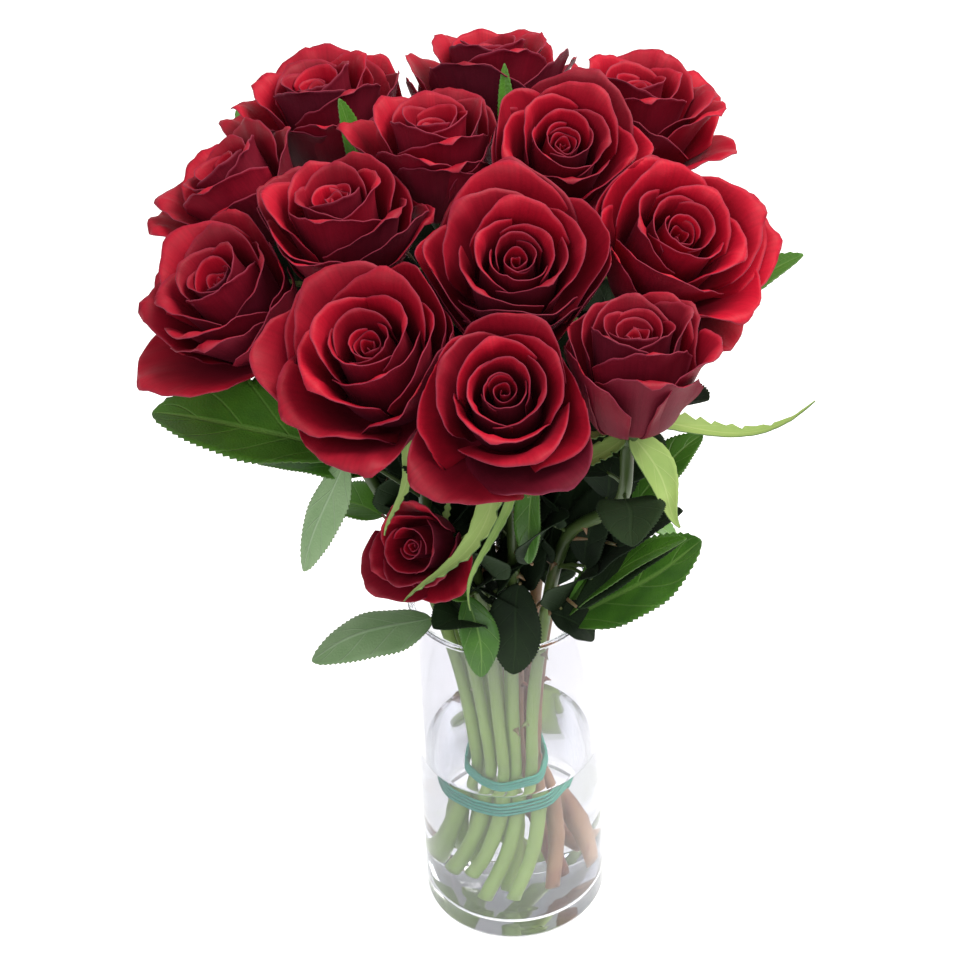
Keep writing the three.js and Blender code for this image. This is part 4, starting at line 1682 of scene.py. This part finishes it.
@dataclass(frozen=True)
class HangingSepal:
    """A sepal that hangs from the hip: it arches out and down, and narrows to its tip."""

    rose: Rose
    number: int
    length: float = 34.0
    half: float = 3.6
    root: tuple[float, float] = (4.6, -2.2)  # its distance from the axis and its height
    lean: float = 88.0  # away from the axis at its root, in degrees
    bend: float = 62.0  # how much further it leans towards its tip
    lift: float = 30.0  # how much its tip turns back up
    tip: float = 0.35  # half its width there
    teeth: float = 0.25  # how deep its teeth are
    bare: float = 0.25  # how far along it they start
    hollow: float = 0.12  # how far its middle lies below its sides
    steps: int = 16
    columns: int = 8
    rows: int = 44

    def surface(self, s: np.ndarray, t: np.ndarray) -> np.ndarray:
        """Its places.

        Args:
            s: Places across it, from -1 to 1.
            t: Places along it, from 0 to 1.

        Returns:
            The places.
        """
        spin = self.rose.spin
        angle = math.radians(spin) + math.tau * self.number / SEPALS
        length = self.length * (1 + 0.1 * draw(spin, Draw.SEPAL_LENGTH + self.number))
        start = self.lean + 10 * draw(spin, Draw.SEPAL_LEAN + self.number)
        out, up = (np.full_like(s, value) for value in self.root)
        for i in range(self.steps):
            part = (i + 0.5) / self.steps
            lean = np.radians(start + self.bend * part * t - self.lift * t**2)
            out = out + np.sin(lean) * length * t / self.steps
            up = up + np.cos(lean) * length * t / self.steps
        swell = 0.75 * np.sin(math.pi * np.minimum(1, t * 1.5) / 2)
        half = self.half * (0.55 + swell - 1.2 * t) + self.tip
        saw = np.sin(14 * math.pi * t) * np.abs(s) ** 3 * (t > self.bare)
        half = half * (1 + self.teeth * saw)
        side = s * half
        places = np.stack(
            (
                out * math.cos(angle) - side * math.sin(angle),
                out * math.sin(angle) + side * math.cos(angle),
                up - self.hollow * half * (1 - s * s),
                np.ones_like(s),
            ),
            axis=1,
        )
        return (places @ np.array(self.rose.frame).T)[:, :3]


@dataclass(frozen=True)
class FreeSepal:
    """A sepal that reaches its own tip, sagging a little, with narrow forward teeth."""

    rose: Rose
    number: int
    tip: Triple
    half: float
    teeth: float  # how deep they are, as a share of its width
    root: tuple[float, float] = (4.0, 4.4)  # how far below the flower and from the axis it grows
    sag: float = 0.14  # as a share of its length
    curve: float = 0.09  # sideways, as a share of its length
    twist: float = 0.9  # from its root to its tip, in radians
    hollow: float = 0.3  # how far its sides stand up, as a share of its width
    end: float = 0.3  # half its width at the tip
    tooth_rows: int = 5
    columns: int = 10
    rows: int = 66

    def surface(self, s: np.ndarray, t: np.ndarray) -> np.ndarray:
        """Its places.

        Args:
            s: Places across it, from -1 to 1.
            t: Places along it, from 0 to 1.

        Returns:
            The places.
        """
        rose = self.rose
        centre = rose.base - rose.axis * (self.root[0] * rose.size)
        away = (Vector(self.tip) - centre).normalized()
        root = np.array(centre + away * (self.root[1] * rose.size))
        along = np.array(self.tip) - root
        length = float(np.linalg.norm(along))
        across, normal = directions(along)
        row = np.rint(t * self.rows)
        edge = np.clip((np.abs(s) - 0.55) / 0.45, 0, 1)
        saw = (row % self.tooth_rows) / (self.tooth_rows - 1)
        uneven = np.sin(2.9 * np.floor(row / self.tooth_rows) + self.number)
        depth = self.teeth * (0.55 + 0.45 * uneven)
        # One side is toothed more deeply than the other.
        depth = depth * np.where(s > 0, 1.0, 0.3)
        width = self.half * (0.25 + 0.95 * np.sin(math.pi * t**0.55)) * (1 - t) ** 0.5
        width = width * (1 - depth * edge * saw * (t > 0.12)) + self.end
        forward = t + 0.05 * depth * edge * (1 - saw) * (t < 0.95) * (t > 0.08)
        sag = -self.sag * length * np.sin(math.pi * t)
        curve = self.curve * length * np.sin(1.5 * math.pi * t + self.number)
        turned = self.twist * (t - 0.3) * math.cos(2.1 * self.number)
        return (
            root + along * forward[:, None]
            + across * (s * width * np.cos(turned) + curve)[:, None]
            + normal * (self.hollow * width * s * s + s * width * np.sin(turned))[:, None]
            + np.array((0.0, 0.0, 1.0)) * sag[:, None]
        )


@dataclass(frozen=True)
class Leaflet:
    """A leaflet with a fine saw edge, folded up a little along its rib."""

    start: Vector
    plan: BladePlan
    seed: float
    teeth: int = 26  # along each side
    bite: tuple[float, float] = (0.045, -0.03)  # out at a tooth's tip and in between two teeth
    toothed: tuple[float, float] = (0.04, 0.97)  # where along it the teeth start and end
    edge: float = 0.7  # how far out they start
    narrow: float = 0.04  # its width at both ends, as a share of its full width
    fold: float = 0.22  # how far its sides stand up, as a share of its width
    wave: float = 0.05  # of its sides
    curl: float = 0.06  # of its rib, to the sides
    columns: int = 10

    @property
    def rows(self) -> int:
        """Faces along it: two for each tooth."""
        return 2 * self.teeth

    def surface(self, s: np.ndarray, t: np.ndarray) -> np.ndarray:
        """Its places.

        Args:
            s: Places across it, from -1 to 1.
            t: Places along it, from 0 to 1.

        Returns:
            The places.
        """
        plan = self.plan
        along = np.array(Vector(plan.tip) - self.start)
        across, up = directions(along)
        row = np.rint(t * self.rows)
        edge = np.clip((np.abs(s) - self.edge) / (1 - self.edge), 0, 1)
        inside = (t > self.toothed[0]) & (t < self.toothed[1])
        tooth = np.where(inside, np.where(row % 2 == 1, *self.bite), 0.0) * edge
        swell = np.sin(math.pi * t**0.85) ** 0.68
        width = plan.half * (self.narrow + (1 - self.narrow) * swell) * (1 + tooth)
        forward = t + np.where(inside & (row % 2 == 1), 0.5 / self.rows, 0.0) * edge
        wave = self.wave * plan.half * np.sin(5 * math.pi * t + self.seed) * s * s * (1 - t)
        rise = plan.arch * np.sin(math.pi * t) + self.fold * width * np.abs(s) ** 1.2 + wave
        curl = self.curl * plan.half * np.sin(2 * math.pi * t + self.seed)
        return (
            np.array(self.start) + along * forward[:, None]
            + across * (s * width + curl)[:, None] + up * rise[:, None]
        )


def directions(along: np.ndarray) -> tuple[np.ndarray, np.ndarray]:
    """The two directions square to a blade.

    Args:
        along: From its root to its tip.

    Returns:
        The level direction across it, and the one out of its upper side.
    """
    across = np.cross((0.0, 0.0, 1.0), along)
    across /= np.linalg.norm(across)
    up = np.cross(along, across)
    return across, up / np.linalg.norm(up)


@dataclass(frozen=True)
class InnerLeaves:
    """The leaves inside the bunch, which close the view between the stems and take the near-black
    finish that is painted shade there.
    """

    heights: tuple[float, ...] = (226, 242, 260, 280, 302, 326, 350, 374)
    strewn: float = 12.0  # how far above or below its height a leaf may grow
    clear: float = 62.0  # how far below the flower the highest grows
    away: float = 27.0  # how far to the side it grows, about
    stalk_end: float = 0.4  # where its stalk ends, as a share of that
    tip_end: float = 1.5  # where its tip is
    inward: float = 0.25  # how much it turns in, towards the middle of the bunch
    rise: float = 8.0  # of its stalk
    up: float = 48.0  # how far above its root its tip is
    half: float = 17.0
    arch: float = 4.0

    def plans(self, line: StemLine) -> list[LeafPlan]:
        """Places the leaves on their stem.

        Args:
            line: The stem's line.

        Returns:
            A plan for each leaf.
        """
        spin = line.rose.spin
        found = []
        for i, height in enumerate(self.heights):
            at = height + self.strewn * draw(spin, Draw.INNER_HEIGHT + i)
            if at > line.rose.base.z - self.clear:
                continue
            root = line.at_height(at)
            out = Vector((root.x, root.y, 0.0)).normalized()
            side = Vector((-out.y, out.x, 0.0)) * (1 if i % 2 else -1)
            reach = self.away * (0.8 + 0.4 * draw(spin, Draw.INNER_AWAY + i))
            turned = out * (-self.inward * self.away) + side * reach
            stalk = root + turned * self.stalk_end + Vector((0, 0, self.rise))
            up = self.up + 8 * draw(spin, Draw.INNER_UP + i)
            tip = root + turned * self.tip_end + Vector((0, 0, up))
            half = self.half + 2 * draw(spin, Draw.INNER_HALF + i)
            found.append(leaf(at, tuple(stalk), (1.0, tuple(tip), half, self.arch)))
        return found


@dataclass(frozen=True)
class UnderLeaves:
    """The leaves that spread out close under a flower, which take the near-black finish that is
    painted shade inside the bunch.
    """

    count: int = 4
    below: float = 30.0  # how far below the flower the highest grows
    apart: float = 6.0
    turned: float = 100.0  # degrees from one to the next
    inward: float = 0.9  # how much they turn in, towards the middle of the bunch
    stalk: tuple[float, float] = (10.0, 5.0)  # how far out and up it ends
    tip: tuple[float, float] = (50.0, 8.0)
    half: float = 16.0
    arch: float = 4.0

    def plans(self, line: StemLine) -> list[LeafPlan]:
        """Places the leaves on their stem.

        Args:
            line: The stem's line.

        Returns:
            A plan for each leaf.
        """
        spin = line.rose.spin
        found = []
        for i in range(self.count):
            at = line.rose.base.z - self.below - self.apart * i
            root = line.at_height(at)
            angle = math.radians(spin + self.turned * i + 15 * draw(spin, Draw.UNDER_SIDE + i))
            inward = Vector((-root.x, -root.y, 0.0)).normalized()
            out = Vector((math.cos(angle), math.sin(angle), 0.0))
            out = (out + self.inward * inward).normalized()
            stalk = root + out * self.stalk[0] + Vector((0, 0, self.stalk[1]))
            up = self.tip[1] + 4 * draw(spin, Draw.UNDER_UP + i)
            tip = root + out * self.tip[0] + Vector((0, 0, up))
            found.append(leaf(at, tuple(stalk), (1.0, tuple(tip), self.half, self.arch)))
        return found


@dataclass
class Growth:
    """The green growth of a rose: stem, hip, sepals and leaves."""

    rose: Rose
    radius: float = 3.3
    uneven: float = 0.05  # how much thicker or thinner the stem is from place to place
    sides: int = 14
    steps: int = 46
    sepal_thickness: float = 0.5
    leaf_thickness: float = 0.45
    stalk: tuple[float, ...] = (1.7, 1.2, 1.0, 0.95, 0.8)  # its radii from the stem to the leaf
    stalk_arch: float = 0.06  # as a share of its length
    tones: float = 0.4  # how unlike each other the stems' flushes are
    stalk_sides: int = 8
    into_stalk: float = 1.4  # how far back a leaflet starts inside its stalk
    hip: Hip = Hip()
    thorns: Thorns = Thorns()
    inner: InnerLeaves = InnerLeaves()
    under: UnderLeaves = UnderLeaves()
    line: StemLine = field(init=False)

    def __post_init__(self) -> None:
        """Lays the stem's line."""
        self.line = StemLine(self.rose, self.hip)

    def build(self) -> None:
        """Makes the stem, the sepals and the leaves."""
        self._stem()
        self._sepals()
        fresh = [plan for plan in self.rose.leaves if not plan.painted_shade_and_haze]
        self._foliage("leaves", fresh, (Finish.LEAF_UNDER, Finish.LEAF_TOP, Finish.LEAF_EDGE))
        # These leaves all take the near-black finish that is painted shade inside the bunch.
        painted_shade_and_haze = [plan for plan in self.rose.leaves if plan.painted_shade_and_haze] + self.inner.plans(self.line)
        if not self.line.is_low:
            painted_shade_and_haze += self.under.plans(self.line)
        self._foliage("inner_leaves", painted_shade_and_haze, (Finish.SHADE_LEAF, Finish.SHADE_LEAF, Finish.SHADE_LEAF))

    def _make(
        self, name: str, mesh: bmesh.types.BMesh, finishes: Sequence[Finish]
    ) -> bpy.types.Object:
        """Makes one piece of the growth, and ends its name with the name given."""
        start = self.rose.name
        return make_piece(f"{start}_{name}", mesh, finishes, f"{start}_stem")

    def _stem(self) -> None:
        """The stem with its thorns, and the hip."""
        spin, flush = self.rose.spin, self.rose.flush
        spots = range(self.steps + 1)
        path = [self.line.at(i / self.steps) for i in spots]
        uneven = [self.uneven * draw(spin, Draw.CANE_RADIUS + i) for i in spots]
        radii = [self.radius * (1 + change) for change in uneven]
        mesh = new_mesh()
        sweep(mesh, path, radii, self.sides, flush + self.tones * draw(spin, Draw.CANE_TONE))
        self.hip.add_to(mesh, self.rose)
        self.thorns.add_to(mesh, self.line, self.radius)
        self._make("cane", mesh, (Finish.RED_STEM if flush > 0 else Finish.GREEN_STEM,))

    def _sepals(self) -> None:
        """The sepals: some hang from the hip, and the free ones reach their own tips."""
        rose = self.rose
        mesh = new_mesh()
        for i in range(SEPALS - len(rose.sepals)):
            sepal = HangingSepal(rose, i)
            tone = draw(rose.spin, Draw.SEPAL_TONE + i)
            lay_sheet(mesh, sepal.columns, sepal.rows, sepal.surface, tone)
        for i, plan in enumerate(rose.sepals):
            sepal = FreeSepal(rose, i, *plan)
            tone = draw(rose.spin, Draw.FREE_SEPAL_TONE + i)
            lay_sheet(mesh, sepal.columns, sepal.rows, sepal.surface, tone)
        made = self._make("sepals", mesh, (Finish.SEPAL_UNDER, Finish.SEPAL_TOP, Finish.LEAF_EDGE))
        thicken(made, self.sepal_thickness)

    def _foliage(self, name: str, plans: Sequence[LeafPlan], finishes: Sequence[Finish]) -> None:
        """Makes a group of leaves and their stalks.

        Args:
            name: The end of the pieces' names.
            plans: The leaves.
            finishes: The finishes of their underside, their top and their edge.
        """
        if not plans:
            return
        spin = self.rose.spin
        mesh = new_mesh()
        stalks = new_mesh()
        for number, plan in enumerate(plans):
            root, end = self.line.at_height(plan.at), Vector(plan.stalk)
            length = (end - root).length
            middle = root.lerp(end, 0.5) + Vector((0, 0, self.stalk_arch * length))
            path = [root, root.lerp(middle, 0.5), middle, middle.lerp(end, 0.5), end]
            tone = draw(spin, Draw.STALK_TONE + number)
            sweep(stalks, path, self.stalk, self.stalk_sides, tone)
            for place, blade in enumerate(plan.blades):
                start = root.lerp(end, max(0.0, blade.share - self.into_stalk / length))
                seed = spin + 11.0 * number + 2.3 * place
                leaflet = Leaflet(start, blade, seed)
                tone = draw(seed, Draw.LEAF_TONE)
                lay_sheet(mesh, leaflet.columns, leaflet.rows, leaflet.surface, tone)
        thicken(self._make(name, mesh, finishes), self.leaf_thickness)
        self._make(f"{name}_stalks", stalks, (Finish.GREEN_STEM,))


# ---------- Vase, water and band ----------


@dataclass
class Vase:
    """A drawn glass cylinder with a thick flat foot and a fire-polished lip."""

    radius: float = 50.0
    wall: float = 3.8
    height: float = 220.0
    floor: float = 12.0
    floor_round: float = 5.0
    foot_round: float = 5.0
    # Radius and height of the points of the underside, which is very slightly hollow.
    hollow: tuple[tuple[float, float], ...] = ((0.0, 1.2), (20.0, 1.0), (36.0, 0.3))
    lip_steps: int = 12
    sides: int = 160
    level: float = 111.0  # of the water
    meniscus: float = 1.6  # how far the water climbs up the glass
    meniscus_width: float = 6.0
    meniscus_steps: int = 5
    meniscus_fall: float = 1.3  # how fast it falls off, for each step
    sunk: float = 0.15  # how far the water lies inside the glass, so that no air shows between

    @property
    def inner(self) -> float:
        """The radius of its inside."""
        return self.radius - self.wall

    def glass(self) -> list[tuple[float, float]]:
        """The outline of the glass.

        Returns:
            Radius and height of each point, from the middle of the foot to that of the floor.
        """
        foot, inside, half = self.foot_round, self.floor_round, self.wall / 2
        outline = [*self.hollow, (self.radius - foot, 0.0)]
        outline += arc((self.radius - foot, foot), foot, -90, 0)[1:]
        outline += arc((self.radius - half, self.height - half), half, 0, 180, self.lip_steps)
        outline += arc((self.inner - inside, self.floor + inside), inside, 0, -90)
        return [*outline, (0.0, self.floor)]

    def water(self) -> list[tuple[float, float]]:
        """The outline of the water.

        Returns:
            Radius and height of each point, from the middle of the floor to that of its surface.
        """
        side, bottom, corner = self.inner + self.sunk, self.floor - self.sunk, self.floor_round
        outline = [(0.0, bottom), *arc((side - corner, bottom + corner), corner, -90, 0)]
        outline.append((side, self.level + self.meniscus))
        for i in range(self.meniscus_steps + 1):
            in_from_glass = 2 * self.sunk + self.meniscus_width * i / self.meniscus_steps
            climb = self.meniscus * math.exp(-self.meniscus_fall * i)
            outline.append((side - in_from_glass, self.level + climb))
        return [*outline, (0.0, self.level)]

    def build(self) -> None:
        """Makes the glass and the water."""
        for name, outline, finish, node, slot in (
            ("glass_vase", self.glass(), Finish.GLASS, "vase", "vase_glass"),
            ("vase_water", self.water(), Finish.WATER, "water", "water"),
        ):
            made = make_piece(name, turn(outline, self.sides), (finish,), node)
            # Clear bodies let the light through to the stems.
            made.visible_shadow = False


@dataclass
class Band:
    """One elastic band, wound round the stems and lying a little aslant."""

    height: float = 88.0
    width: float = 16.0
    windings: float = 4.5
    thickness: float = 2.0  # of the band as the solid has it, which holds the strand's middle
    slack: float = 1.2  # between the band and the stems
    aslant: float = 1.6  # how far one side lies below the middle
    aslant_way: float = 3.6  # towards where, in radians
    low: float = 1.2  # how far the first winding lies inside the band's lower edge
    packed: float = 0.86  # how closely the windings lie, where 1 fills the band's whole width
    strand: float = 1.35  # half of how far the strand stands out
    flat: float = 0.7  # its height as a share of that
    steps: int = 48  # for each winding
    sides: int = 10
    rolling: tuple[float, float] = (0.25, 2.3)  # how far windings ride up on each other, how often
    square: float = 0.1  # the least share of its reach that a direction must have to count

    def _reach(self, growths: Sequence[Growth]) -> Callable[[float], float]:
        """Finds how far out the band lies, all round.

        Args:
            growths: The stems that it holds.

        Returns:
            A function from an angle to the distance from the axis.
        """
        heights = (self.height - self.width / 2, self.height, self.height + self.width / 2)
        spots = np.array([growth.line.at_height(z)[:2] for growth in growths for z in heights])
        turned = np.radians(np.arange(360))
        ways = np.stack((np.cos(turned), np.sin(turned)), axis=1)
        reach = (spots @ ways.T).max(axis=0) + max(growth.radius for growth in growths) + self.slack

        def out(angle: float) -> float:
            """Stretched tight, the band lies along the hull of the stems."""
            facing = np.cos(turned - angle)
            near = facing > self.square
            return float((reach[near] / facing[near]).min())

        return out

    def build(self, growths: Sequence[Growth]) -> None:
        """Winds the band round the stems.

        Args:
            growths: The stems that it holds.
        """
        reach = self._reach(growths)
        climb = self.packed * (self.width - 2 * self.aslant) / self.windings
        low = self.height - self.width / 2 + self.aslant + self.low
        steps = int(self.steps * self.windings)
        path = []
        for i in range(steps + 1):
            angle = math.tau * self.windings * i / steps
            tilt = 0.8 * self.aslant * math.cos(angle - self.aslant_way)
            ride, often = self.rolling
            radius = reach(angle) + self.thickness / 2 + ride * math.sin(often * angle)
            height = low + climb * angle / math.tau - tilt
            path.append(Vector((radius * math.cos(angle), radius * math.sin(angle), height)))
        mesh = new_mesh()
        sweep(mesh, path, [self.strand] * len(path), self.sides, flat=self.flat)
        make_piece("elastic_band", mesh, (Finish.ELASTIC,), "stem_band")


# ---------- Studio ----------


@dataclass(frozen=True)
class Lamp:
    """A soft square light, in metres and watts."""

    name: str
    place: Triple
    size: float
    watts: float
    colour: str


@dataclass
class Studio:
    """A pale floor, soft light from above and a camera that looks down on the bunch.

    Its sizes are metres.
    """

    floor_size: float = 12.0
    surround: float = 0.6  # strength of the white light from all sides
    aim: Triple = (0.0, 0.0, 0.4)
    lamps: tuple[Lamp, ...] = (
        Lamp("key", (0.95, 0.2, 1.95), 1.3, 42.0, "fffaf4"),
        Lamp("fill", (-0.5, -1.7, 1.7), 1.4, 20.0, "f4f8ff"),
    )
    camera: Triple = (-0.00788, -1.4106, 1.50185)
    looks_down: float = 40.5  # degrees
    roll: float = -3.2  # degrees
    lens: float = 135.0  # mm
    sensor: float = 36.0  # mm
    sees_as_far: float = 100.0
    bounces: int = 40  # light crosses the walls of vase and water many times before it comes out

    def build(self) -> None:
        """Makes the floor, the light and the camera."""
        self._lay_floor()
        self._light()
        self._set_camera()
        cycles = bpy.context.scene.cycles
        for kind in ("max_bounces", "transmission_bounces", "glossy_bounces"):
            setattr(cycles, kind, self.bounces)
        bpy.context.scene.view_settings.view_transform = "Standard"

    def _lay_floor(self) -> None:
        """The floor under the vase."""
        mesh = new_mesh()
        bmesh.ops.create_grid(mesh, x_segments=2, y_segments=2, size=self.floor_size / 2)
        floor = make_object("floor", mesh, (Finish.FLOOR,))

    def _light(self) -> None:
        """A white surround and two soft lights."""
        world = bpy.data.worlds.new("surround")
        world.use_nodes = True
        around = {"Color": srgb("ffffff"), "Strength": self.surround}
        feed(world.node_tree, world.node_tree.nodes["Background"], around)
        bpy.context.scene.world = world
        for lamp in self.lamps:
            light = bpy.data.lights.new(lamp.name, "AREA")
            light.energy = lamp.watts
            light.size = lamp.size
            light.color = srgb(lamp.colour)[:3]
            made = bpy.data.objects.new(lamp.name, light)
            made.location = lamp.place
            aim = Vector(self.aim) - Vector(lamp.place)
            made.rotation_euler = aim.to_track_quat("-Z", "Y").to_euler()
            bpy.context.scene.collection.objects.link(made)

    def _set_camera(self) -> None:
        """The camera, from the front and above."""
        down, roll = math.radians(self.looks_down), math.radians(self.roll)
        ahead = Vector((0, math.cos(down), -math.sin(down)))
        right = Vector((1, 0, 0))
        up = right.cross(ahead)
        tilted_right = right * math.cos(roll) + up * math.sin(roll)
        tilted_up = up * math.cos(roll) - right * math.sin(roll)
        view = bpy.data.cameras.new("camera")
        view.lens = self.lens
        view.sensor_width = self.sensor
        view.clip_end = self.sees_as_far
        camera = bpy.data.objects.new("camera", view)
        turned = Matrix((tilted_right, tilted_up, -ahead)).transposed().to_4x4()
        camera.matrix_world = Matrix.Translation(self.camera) @ turned
        bpy.context.scene.collection.objects.link(camera)
        bpy.context.scene.camera = camera


def main() -> None:
    """Builds the roses, the vase, the floor, the light and the camera."""
    logging.basicConfig(level=logging.INFO, format="%(name)s %(message)s")
    Studio().build()
    growths = [Growth(rose) for rose in ROSES]
    for rose, growth in zip(ROSES, growths):
        Bloom(rose).build()
        Core(rose).build()
        growth.build()
    Vase().build()
    Band().build(growths)
    bpy.context.view_layer.update()


if __name__ == "__main__":
    main()
